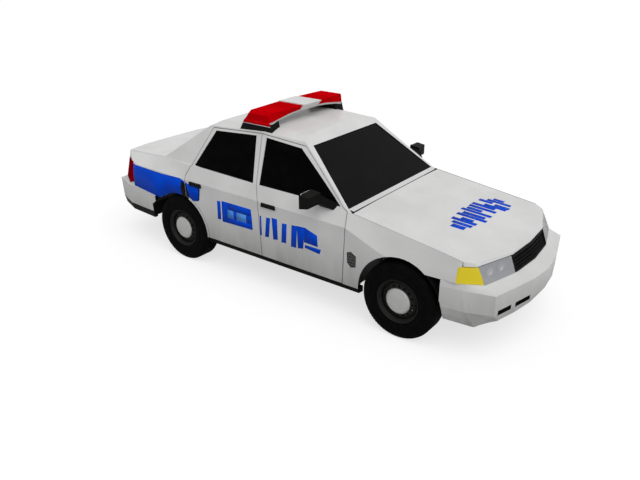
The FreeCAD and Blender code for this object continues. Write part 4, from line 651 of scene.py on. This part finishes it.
def slab(name, outline, plane, low, high, material, body, bevel=0.003):
    """A flat part with rounded edges."""
    obj = piece(name, prism(name, outline, plane, low, high), material, body)
    soften(obj, bevel, 20.0, 3)
    return obj


def oblong(x0, x1, z0, z1, corner):
    """A rectangle with cut corners."""
    return [(x0 + corner, z0), (x1 - corner, z0), (x1, z0 + corner), (x1, z1 - corner),
            (x1 - corner, z1), (x0 + corner, z1), (x0, z1 - corner), (x0, z0 + corner)]


def shifted(points, x, z):
    return [(x + a, z + b) for a, b in points]


def turned(name, profile, centre, axis, material, body, steps=48, shut=True, smooth_angle=35.0):
    """A profile of (distance along the axis, radius) turned about an axis. shut joins its two ends."""
    axis = Vector(axis).normalized()
    side = axis.orthogonal().normalized()
    up = axis.cross(side)
    verts, faces = [], []
    count = len(profile)
    for i in range(steps):
        angle = 2 * math.pi * i / steps
        out = side * math.cos(angle) + up * math.sin(angle)
        verts += [tuple(Vector(centre) + axis * along + out * radius) for along, radius in profile]
        this, after = i * count, (i + 1) % steps * count
        for j in range(count if shut else count - 1):
            k = (j + 1) % count
            faces.append((this + j, this + k, after + k, after + j))
    mesh = mesh_from(name, verts, faces, smooth_angle)
    bm = bmesh.new()
    bm.from_mesh(mesh)
    bmesh.ops.remove_doubles(bm, verts=bm.verts[:], dist=1e-6)
    bmesh.ops.dissolve_degenerate(bm, edges=bm.edges[:], dist=1e-6)
    bm.to_mesh(mesh)
    bm.free()
    return piece(name, mesh, material, body)


def tube(name, points, radius, material, body, shut=False):
    """A round tube along points."""
    curve = bpy.data.curves.new(name, "CURVE")
    curve.dimensions = "3D"
    curve.bevel_depth = radius
    curve.bevel_resolution = 2
    curve.use_fill_caps = True
    spline = curve.splines.new("POLY")
    spline.points.add(len(points) - 1)
    for place, point in zip(spline.points, points):
        place.co = (*point, 1.0)
    spline.use_cyclic_u = shut
    holder = bpy.data.objects.new(name, curve)
    scene.collection.objects.link(holder)
    mesh = evaluated(holder)
    bpy.data.objects.remove(holder)
    mesh.name = name
    smooth(mesh)
    return piece(name, mesh, material, body)


def evaluated(obj):
    """A new mesh of an object with its modifiers applied."""
    return bpy.data.meshes.new_from_object(obj.evaluated_get(bpy.context.evaluated_depsgraph_get()))


BODY = body_of("body_sides")

# Dark mesh behind the front bumper's slots.
for side, sign in SIDE_OF.items():
    outline = [(sign * y, z) for y, z in rectangle(0.090, 0.765, SLOT_Z - 0.088, SLOT_Z + 0.045)]
    slab(f"{side}_slot_mesh", outline[::int(sign)], "yz", *SLOT_MESH_X, BLACK, body_of("front_bumper"), 0.001)


# ---- tyres
low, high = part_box("right_front_tyre")
RIM_R, TYRE_R, HALF = 0.214, (high.z - low.z) / 2, 0.1175
# Columns of the sidewall: distance in from the tyre's side, radius over the rim, or under the tread where below 0.
SIDEWALL = [(HALF - inset, r + (RIM_R if r > 0 else TYRE_R)) for inset, r in mm((
    (19, 1), (11, 12), (6, 18), (7.5, 21.5), (3.5, 27), (1, 42), (0.4, 70), (2.8, 71.5), (2.8, 90), (0.6, 91.5),
    (1, -56), (4, -40), (9, -25.5), (14.5, -14.5), (23, -7.2), (31, -2.6)))]
GROOVES = (-0.058, -0.020, 0.020, 0.058)
GROOVE_HALF, GROOVE_DEPTH = 0.0052, 0.0085
STEPS, BLOCK = 432, 6  # columns round the tyre, and from one slot to the next
RIB_CUTS = (0.0065, 0.005, 0.0035)  # depth of the slots of the outer, next and middle ribs


def tread_profile():
    """Columns across the tyre: distance outboard, radius and how deep a cross slot is there (1: by its rib)."""
    right = [(y, r, 0.0045 if r > TYRE_R - 0.016 else 0.0) for y, r in SIDEWALL] + [(HALF - 0.0345, TYRE_R, 1.0)]
    ribs = []
    foot, floor = GROOVE_HALF - 0.0016, TYRE_R - GROOVE_DEPTH
    for groove in GROOVES[::-1]:
        ribs += [(groove + GROOVE_HALF, TYRE_R, 1.0), (groove + foot, floor, 0.0), (groove - foot, floor, 0.0),
                 (groove - GROOVE_HALF, TYRE_R, 1.0)]
    return right + ribs + [(-y, r, cut) for y, r, cut in right[::-1]]


def tyre_mesh():
    """A tyre about the y axis, outboard towards +y, with slots across its ribs and shoulders."""
    columns = tread_profile()
    verts, faces = [], []
    for k in range(STEPS):
        angle = 2 * math.pi * k / STEPS
        for y, r, cut in columns:
            if cut >= 1.0:
                rib = 0 if abs(y) > 0.0633 else (1 if abs(y) > 0.0253 else 2)
                cut = RIB_CUTS[rib]
            else:
                rib = 0
            depth = cut if (k + (2 if y > 0 else 0) + rib * 3) % BLOCK == 0 else 0.0
            verts.append(((r - depth) * math.cos(angle), y, (r - depth) * math.sin(angle)))
    count = len(columns)
    for k in range(STEPS):
        this, after = k * count, (k + 1) % STEPS * count
        for j in range(count):
            m = (j + 1) % count
            faces.append((this + j, this + m, after + m, after + j))
    return mesh_from("tyre", verts, faces, 28.0)


shared_tyre = tyre_mesh()
shared_tyre.materials.append(TYRE)
for name in sides("front_tyre", "rear_tyre"):
    obj = piece(f"{name}_tread", shared_tyre, None, body_of(name), Matrix.Translation(middle(name)))
    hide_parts(name)

# ---- wheel, brake and spring details
# Profiles from here on are pairs of a distance along the axis and a radius.
VALVE = mm([(48, 0), (48, 5.5), (60, 5), (64, 3.2), (78, 3.2), (79, 4.2), (88, 4), (89, 0)])
CAP_RING = mm([(99.5, 106), (103.5, 108.5), (104.5, 112), (101.5, 118), (98.5, 119), (96, 112)])
DISC = mm([(-30, 50), (-30, 148), (-27, 150), (-22, 150), (-21, 146), (-21, 90), (3, 84), (3, 50)])
VALVE_AT = Vector((0.176, 0.0, 0.0))  # from the hub
COIL_STEPS, COIL_TURNS, COIL_R = 14, 6, 0.040
COIL_Y, COIL_Z, COIL_HEIGHT = 0.558, 0.248, 0.296
for side, sign in SIDE_OF.items():
    for end in ("front", "rear"):
        body = body_of(f"{side}_{end}_wheel")
        centre = middle(f"{side}_{end}_tyre")
        axis = (0.0, sign, 0.0)
        turned(f"{side}_{end}_valve", VALVE, centre + VALVE_AT, axis, SEAL, body, 12, False)
        turned(f"{side}_{end}_cap_ring", CAP_RING, centre, axis, STEEL, body, 72)
        turned(f"{side}_{end}_brake_disc", DISC, centre, axis, STEEL, body, 72)
    points = []
    for i in range(COIL_TURNS * COIL_STEPS + 1):
        angle = 2 * math.pi * i / COIL_STEPS
        points.append((AXLES["front"].x + COIL_R * math.cos(angle), sign * COIL_Y + COIL_R * math.sin(angle),
                       COIL_Z + COIL_HEIGHT * i / (COIL_TURNS * COIL_STEPS)))
    tube(f"{side}_front_spring", points, 0.0065, FRAME, BODY)


# ---- window seals
def rim_loops(node, facing):
    """The outlines of a pane's face that looks along facing, as loops of points."""
    bm = bmesh.new()
    bm.from_mesh(nodes[node].data)
    facing = Vector(facing).normalized()
    bmesh.ops.delete(bm, geom=[f for f in bm.faces if f.normal.dot(facing) < 0.4], context="FACES")
    clean(bm, angle=0.5)
    follow = {}
    for edge in bm.edges:
        if len(edge.link_faces) == 1:
            a, b = edge.verts
            follow.setdefault(a, []).append(b)
            follow.setdefault(b, []).append(a)
    loops = []
    while follow:
        start = next(iter(follow))
        loop, before, here = [], None, start
        while here in follow:
            loop.append(here.co.copy())
            ahead = [v for v in follow.pop(here) if v is not before]
            before, here = here, (ahead[0] if ahead else start)
        loops.append(loop)
    bm.free()
    return loops


def seal(name, node, facing, radius=0.0055):
    """Rubber along the edge of a pane."""
    for i, loop in enumerate(rim_loops(node, facing)):
        if len(loop) > 2:
            tube(f"{name}_{i}", loop, radius, SEAL, body_of(node), True)


seal("windshield_seal", "windshield", (0.6, 0.0, 0.8), 0.0065)
seal("rear_window_seal", "rear_window", (-0.6, 0.0, 0.8), 0.0065)
for side, sign in SIDE_OF.items():
    for end in ("front", "rear"):
        seal(f"{side}_{end}_glass_seal", f"{side}_{end}_door_glass", (0.0, sign, 0.3))

# ---- lamps and mirror glass
BOWL = mm([(0, 0), (1.5, 12), (6, 24), (13, 34), (24, 44), (26, 45.5), (27.5, 44.5), (15, 32), (8.5, 22),
           (4, 12), (2.5, 0)])
BULB = mm([(2, 0), (2, 6), (10, 6), (12, 8.5), (18, 8.5), (22, 5), (23.5, 0)])
LAMPS = ((0.500, 0.292), (0.645, 0.334))  # distance from the middle, and behind the bumper's front
for side, sign in SIDE_OF.items():
    for i, (y, back) in enumerate(LAMPS):
        centre = (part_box("front_bumper")[1].x - back, sign * y, middle("headlamps").z)
        axis = Vector((1.0, sign * 0.20, 0.0))
        turned(f"{side}_reflector_{i}", BOWL, centre, axis, REFLECTOR, BODY, 40, False, 60.0)
        turned(f"{side}_bulb_{i}", BULB, centre, axis, MIRROR, BODY, 20, False, 50.0)

for side, sign in SIDE_OF.items():
    low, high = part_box(f"{side}_door_mirror")
    reach = max(high.y, -low.y)
    outline = [(sign * y, z) for y, z in oblong(reach - 0.170, reach - 0.018, low.z + 0.096, low.z + 0.192, 0.012)]
    slab(f"{side}_mirror_glass", outline, "yz", low.x + 0.004, low.x + 0.008, MIRROR,
         body_of(f"{side}_door_mirror"), 0.0015)


# ---- seats
CLOTH_FRAMES = 20
SEAM_HALF, SEAM_DEPTH = 0.013, 0.008


def bake(obj):
    """Applies an object's modifiers to its mesh."""
    mesh = evaluated(obj)
    obj.modifiers.clear()
    obj.data = mesh


def blow_up(obj, cap):
    """Blows a closed mesh up as cloth under pressure. No vertex moves further than cap."""
    before = [v.co.copy() for v in obj.data.vertices]
    cloth = obj.modifiers.new("cloth", "CLOTH")
    cloth.settings.quality = 4
    cloth.settings.use_pressure = True
    cloth.settings.uniform_pressure_force = 4.0
    cloth.settings.effector_weights.gravity = 0.0
    cloth.point_cache.frame_start = 1
    cloth.point_cache.frame_end = CLOTH_FRAMES
    for frame_number in range(1, CLOTH_FRAMES + 1):
        scene.frame_set(frame_number)
    bake(obj)
    scene.frame_set(1)
    for vertex, home in zip(obj.data.vertices, before):
        move = vertex.co - home
        if move.length > cap:
            vertex.co = home + move * (cap / move.length)


def crowned(name, outline, y_low, y_high, seams, start=0.016, cap=0.024, voxel=0.014, face=(1, 0, 0.25)):
    """A padded form: a smaller block, remeshed, blown up as cloth, then sewn along its seams."""
    core = prism(name, grown(outline, -start), "xz", y_low + start, y_high - start)
    obj = piece(name, core, SEAT, BODY)
    rounded = obj.modifiers.new("rounded", "BEVEL")
    rounded.width = 0.022
    rounded.segments = 3
    blocks = obj.modifiers.new("blocks", "REMESH")
    blocks.mode = "VOXEL"
    blocks.voxel_size = voxel
    bake(obj)
    blow_up(obj, cap)
    finer = obj.modifiers.new("finer", "SUBSURF")
    finer.levels = finer.render_levels = 1
    bake(obj)
    looks = Vector(face).normalized()
    normals = [v.normal.copy() for v in obj.data.vertices]
    for vertex, normal in zip(obj.data.vertices, normals):
        toward = normal.dot(looks)
        if toward > 0.25:
            depth = max(0.0, *(1.0 - abs(vertex.co[axis] - value) / SEAM_HALF for axis, value in seams))
            vertex.co -= normal * (SEAM_DEPTH * depth * min(1.0, toward * 1.6))
    smooth(obj.data)
    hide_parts("seats")


SEAT_X, SEAT_Z = AXLES["rear"].x + 1.274, DOOR_LOW + 0.076  # heel of the front backrests, foot of the cushions
BENCH_X, BENCH_Z = AXLES["rear"].x + 0.500, AXLES["rear"].z + 0.276
SEAT_Y = 0.370  # middle of each front seat
UP = (0, 0, 1)
BENCH_SEAMS = [(1, y) for y in (-0.300, -0.020, 0.020, 0.300)]  # pairs of an axis and a place along it


def at_seat(*points):
    """An outline in side view, from millimetres at a front seat."""
    return shifted(mm(points), SEAT_X, SEAT_Z)


def at_bench(*points):
    return shifted(mm(points), BENCH_X, BENCH_Z)


for side, sign in SIDE_OF.items():
    y = sign * SEAT_Y
    crowned(f"{side}_seat_cushion", at_seat((92, 22), (490, 44), (516, 128), (108, 128)), y - 0.243, y + 0.243,
            ((1, y - 0.125), (1, y + 0.125), (0, SEAT_X + 0.260), (0, SEAT_X + 0.400)), face=UP)
    crowned(f"{side}_seat_back", at_seat((0, 8), (82, 112), (-50, 676), (-158, 676)), y - 0.233, y + 0.233,
            ((1, y - 0.120), (1, y + 0.120), (2, SEAT_Z + 0.270), (2, SEAT_Z + 0.420), (2, SEAT_Z + 0.560)))
    crowned(f"{side}_head_restraint", at_seat((-150, 700), (-64, 700), (-80, 858), (-154, 858)), y - 0.118, y + 0.118,
            ((1, y - 0.080), (1, y + 0.080)), 0.012, 0.018, 0.010)
    for offset in (-0.055, 0.055):
        post = [(x, y + offset, z) for x, z in at_seat((-107, 640), (-110, 730))]
        obj = tube(f"{side}_head_post_{'in' if offset * sign < 0 else 'out'}", post, 0.006, STEEL, BODY)
        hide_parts("seats")
    obj = slab(f"{side}_seat_base", at_seat((60, -108), (400, -108), (430, 30), (60, 14)), "xz", y - 0.185, y + 0.185,
               GREY_PLASTIC, BODY, 0.010)
    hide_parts("seats")
    for offset in (-0.150, 0.150):
        obj = slab(f"{side}_seat_rail_{'in' if offset * sign < 0 else 'out'}", at_seat(*rectangle(30, 440, -108, -92)),
                   "xz", y + offset - 0.016, y + offset + 0.016, STEEL, BODY)
        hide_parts("seats")
    lever = [(x, y + sign * out, z)
             for (x, z), out in zip(at_seat((110, -10), (130, -6), (250, 4)), (0.205, 0.228, 0.230))]
    obj = tube(f"{side}_recliner", lever, 0.007, BLACK, BODY)
    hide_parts("seats")

crowned("rear_bench_cushion", at_bench((-137, 28), (-137, -12), (-20, -92), (143, -118), (172, -30), (-57, 30)),
        -0.612, 0.612, [*BENCH_SEAMS, (0, BENCH_X + 0.080)], 0.010, 0.015, face=UP)
crowned("rear_bench_back", at_bench((-306, 16), (-150, 34), (-256, 452), (-404, 452)), -0.482, 0.482,
        [*BENCH_SEAMS, (2, BENCH_Z + 0.240), (2, BENCH_Z + 0.360)])

# ---- dashboard and controls
DASH_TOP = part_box("dashboard")[1].z
DASH_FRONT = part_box("dashboard")[1].x
FACE_X = DASH_FRONT - 0.350  # the dashboard's face towards the driver
HUB = middle("steering_wheel")
LEAN = math.radians(24.0)
COLUMN = Vector((-math.cos(LEAN), 0.0, math.sin(LEAN)))
TO_REAR = (-1, 0, 0)
ARCH_STEPS = 14
GAUGES = ((-0.105, 0.036), (0.0, 0.046), (0.105, 0.036))  # offset from the wheel's hub, radius
TICKS, TICK_HALF, TICK_DEPTH = 11, 0.0008, 0.0012
TICK_FROM, TICK_TO = 0.82, 0.96  # shares of the dial's radius
FIRST_TICK, TICK_STEP = 225.0, 27.0  # degrees
VENTS_Y, VENT_FINS = (-0.560, -0.120, 0.120, 0.600), 4
KNOB = mm([(0, 0), (0, 14), (14, 12), (16, 9), (16, 0)])
BOSS = mm([(0, 0), (0, 72), (12, 76), (28, 66), (36, 40), (38, 0)])
PEDALS = ((0.060, 0.026), (-0.080, 0.050))  # offset from the wheel's hub, half width


def on_dash(name, outline, back, front, material, bevel=0.002):
    """A slab across the dashboard's face, between two depths from it."""
    slab(name, outline, "yz", FACE_X + back, FACE_X + front, material, BODY, bevel)


def arch(foot, width, rise, steps):
    """An arch over the gauges."""
    turns = [math.pi * i / ARCH_STEPS for i in steps]
    return [(HUB.y + width * math.cos(turn), DASH_TOP - foot + rise * math.sin(turn)) for turn in turns]


def ticks(name, centre, radius):
    """The marks round a dial."""
    verts, faces = [], []
    for k in range(TICKS):
        angle = math.radians(FIRST_TICK - TICK_STEP * k)
        along = Vector((0.0, math.cos(angle), math.sin(angle)))
        across = Vector((0.0, -math.sin(angle), math.cos(angle))) * TICK_HALF
        start = len(verts)
        for lift in (0.0, -TICK_DEPTH):
            for reach, edge in ((TICK_FROM, -1), (TICK_FROM, 1), (TICK_TO, 1), (TICK_TO, -1)):
                verts.append(tuple(centre + along * radius * reach + across * edge + Vector((lift, 0, 0))))
        faces += [tuple(start + j for j in face) for face in (
            (0, 1, 2, 3), (4, 5, 6, 7), (0, 1, 5, 4), (1, 2, 6, 5), (2, 3, 7, 6), (3, 0, 4, 7))]
    piece(name, mesh_from(name, verts, faces), MARK, BODY)


# Hood over the gauges, which stands on the dashboard in front of the driver.
steps = range(ARCH_STEPS + 1)
on_dash("gauge_hood", arch(0.020, 0.190, 0.062, steps) + arch(0.024, 0.176, 0.052, steps[::-1]), -0.022, 0.110, DASH,
        0.003)
on_dash("gauge_panel", shifted(oblong(-0.172, 0.172, -0.100, 0.030, 0.020), HUB.y, DASH_TOP - 0.020), -0.004, 0.012,
        DIAL)
for i, (offset, radius) in enumerate(GAUGES):
    centre = Vector((FACE_X - 0.005, HUB.y + offset, DASH_TOP - 0.052))
    bezel = [(0.0, radius), (0.006, radius + 0.001), (0.007, radius + 0.004), (0.0, radius + 0.006)]
    turned(f"gauge_bezel_{i}", bezel, centre, TO_REAR, STEEL, BODY, 40)
    ticks(f"gauge_ticks_{i}", centre, radius)
    needle = [(centre.y - 0.0015, centre.z), (centre.y + 0.0015, centre.z),
              (centre.y - radius * 0.58, centre.z - radius * 0.52)]
    on_dash(f"gauge_needle_{i}", needle, -0.0085, -0.007, RED, 0.0003)

for i, y in enumerate(VENTS_Y):
    z = DASH_TOP - 0.062
    on_dash(f"vent_frame_{i}", oblong(y - 0.060, y + 0.060, z - 0.028, z + 0.028, 0.010), -0.006, 0.010, BLACK)
    for k in range(VENT_FINS):
        fin = shifted([(-0.012, -0.003), (-0.002, 0.002), (-0.002, 0.004), (-0.012, -0.001)],
                      FACE_X, z - 0.018 + 0.012 * k)
        slab(f"vent_fin_{i}_{k}", fin, "xz", y - 0.050, y + 0.050, GREY_PLASTIC, BODY, 0.0004)

on_dash("radio", oblong(-0.092, 0.092, DASH_TOP - 0.190, DASH_TOP - 0.110, 0.006), -0.002, 0.020, DIAL)
for i, y in enumerate((-0.070, 0.070)):
    turned(f"radio_knob_{i}", KNOB, (FACE_X - 0.001, y, DASH_TOP - 0.150), TO_REAR, GREY_PLASTIC, BODY, 28, False)
on_dash("glovebox_lid", oblong(-0.620, -0.250, DASH_TOP - 0.122, DASH_TOP - 0.096, 0.008), -0.006, 0.004, TRIM)

# Boss of the steering wheel, which turns with it.
turned("steering_boss", BOSS, HUB + COLUMN * 0.002, COLUMN, DASH, body_of("steering_wheel"), 48, False, 50.0)

CONSOLE_X, CONSOLE_Z = SEAT_X + 0.080, DOOR_LOW + 0.122
console = mm([(20, -6), (420, -6), (420, 70), (300, 86), (60, 74), (20, 50)])
slab("console", shifted(console, CONSOLE_X, CONSOLE_Z), "xz", -0.088, 0.088, TRIM, BODY, 0.010)
slab("console_tray", shifted(oblong(0.120, 0.290, 0.072, 0.090, 0.006), CONSOLE_X, CONSOLE_Z), "xz", -0.060, 0.060,
     BLACK, BODY)
selector = [HUB + COLUMN * along + Vector((0.0, y, z))
            for along, y, z in ((-0.075, -0.030, 0.0), (-0.060, -0.120, 0.020), (-0.040, -0.215, 0.050))]
tube("selector", selector, 0.006, BLACK, BODY)
pad = shifted([(-0.165, 0.075), (-0.120, 0.185), (-0.110, 0.180), (-0.155, 0.070)], DASH_FRONT, DOOR_LOW)
for i, (offset, half) in enumerate(PEDALS):
    y = HUB.y - offset
    slab(f"pedal_{i}", pad, "xz", y - half, y + half, SEAL, BODY)

# ---- door trim, which swings with its door
DOOR_HEELS = (("front", 0.180), ("rear", -0.900))  # where the armrests start
TRIM_Y = 0.828  # the inner trim's face
ARMREST = mm([(0, -30), (20, -50), (330, -50), (400, 10), (380, 34), (20, 12)])
OPENER = oblong(0.300, 0.400, 0.120, 0.158, 0.008)
HANDLE_HUB = mm([(0, 0), (0, 20), (10, 18), (14, 10), (14, 0)])
PULL = mm(((60, 0, 470), (72, 33, 474), (210, 38, 484), (222, 0, 486)))
WINDER = mm(((0, 12, 0), (-30, 18, -20), (-75, 20, -36), (-78, 42, -37)))


def from_door(points, x, z, sign):
    """Points of (x, distance in from the trim, z), moved onto a door."""
    return [(x + a, sign * (TRIM_Y - depth), z + b) for a, depth, b in points]


for side, sign in SIDE_OF.items():
    for end, x in DOOR_HEELS:
        body = body_of(f"{side}_{end}_door")
        face = sign * (TRIM_Y + 0.0005)
        slab(f"{side}_{end}_armrest", shifted(ARMREST, x, DOOR_LOW + 0.370), "xz", *sorted((face, sign * 0.768)),
             TRIM, body, 0.012)
        tube(f"{side}_{end}_pull", from_door(PULL, x, DOOR_LOW, sign), 0.009, BLACK, body)
        slab(f"{side}_{end}_opener", shifted(OPENER, x, DOOR_LOW + 0.370), "xz", *sorted((face, sign * 0.818)),
             STEEL, body)
        hub_x, hub_z = x + 0.230, DOOR_LOW + 0.230
        turned(f"{side}_{end}_winder_hub", HANDLE_HUB, (hub_x, sign * TRIM_Y, hub_z), (0, -sign, 0), BLACK, body, 28,
               False)
        tube(f"{side}_{end}_winder", from_door(WINDER, hub_x, hub_z, sign), 0.006, BLACK, body)

# ---- camera, light, floor
FOCAL_MM, SENSOR_MM = 37.316, 36.0
CAMERA_AT, CAMERA_TOWARD = (4.2396, -5.6655, 3.4563), (-0.54881, 0.72796, -0.41095)  # from the photograph's fit
SUN_TOWARD, SUN_STRENGTH, SUN_SPREAD = (-0.60, 0.36, -1.0), 1.60, 70.0
FILL = 0.40  # the world's strength as light; it is seen at 1
FLOOR_SEEN, FLOOR_HALF = 0.68, 60.0


def aim(name, data, place, toward):
    """A camera or lamp that looks along a direction."""
    obj = bpy.data.objects.new(name, data)
    scene.collection.objects.link(obj)
    obj.location = place
    obj.rotation_mode = "QUATERNION"
    obj.rotation_quaternion = Vector(toward).to_track_quat("-Z", "Y")
    return obj


def seen(tree):
    """1 for rays from the camera, mirrors and panes, 0 for the light that falls on the car."""
    rays = add_node(tree, "ShaderNodeLightPath").outputs
    share = add_node(tree, "ShaderNodeMath", {0: rays["Is Camera Ray"], 1: rays["Is Glossy Ray"]},
                     operation="MAXIMUM").outputs[0]
    return add_node(tree, "ShaderNodeMath", {0: share, 1: rays["Is Transmission Ray"]},
                    operation="MAXIMUM").outputs[0]


camera = bpy.data.cameras.new("camera")
camera.lens = FOCAL_MM
camera.sensor_width = SENSOR_MM
camera.clip_end = 200.0
scene.camera = aim("camera", camera, CAMERA_AT, CAMERA_TOWARD)

sun = bpy.data.lights.new("key", "SUN")
sun.energy = SUN_STRENGTH
sun.angle = math.radians(SUN_SPREAD)  # wide, so that its shadows are soft
aim("key", sun, (0.0, 0.0, 6.0), SUN_TOWARD)

world = bpy.data.worlds.new("studio")
scene.world = world
world.use_nodes = True
tree = world.node_tree
tree.nodes.clear()
level = add_node(tree, "ShaderNodeMapRange", {"Value": seen(tree), "To Min": FILL, "To Max": 1.0})
glow = add_node(tree, "ShaderNodeBackground", {"Color": (1.0, 1.0, 1.0, 1.0), "Strength": level.outputs[0]})
add_node(tree, "ShaderNodeOutputWorld", {"Surface": glow.outputs[0]})

floor_mesh = bpy.data.meshes.new("floor")
floor_mesh.from_pydata([(x, y, 0) for x, y in rectangle(-FLOOR_HALF, FLOOR_HALF, -FLOOR_HALF, FLOOR_HALF)], [],
                       [(0, 1, 2, 3)])
floor = bpy.data.objects.new("floor", floor_mesh)
scene.collection.objects.link(floor)
floor.location = (0.0, 0.0, -0.0005)
shade = Shade("floor", Roughness=0.9, Specular_IOR_Level=0.0, Base_Color=(0.42, 0.42, 0.42, 1.0),
              Emission_Color=(1.0, 1.0, 1.0, 1.0))
shade.set("Emission Strength", shade.math("MULTIPLY", seen(shade.tree), FLOOR_SEEN))
floor_mesh.materials.append(shade.mat)

scene.view_settings.view_transform = "Standard"
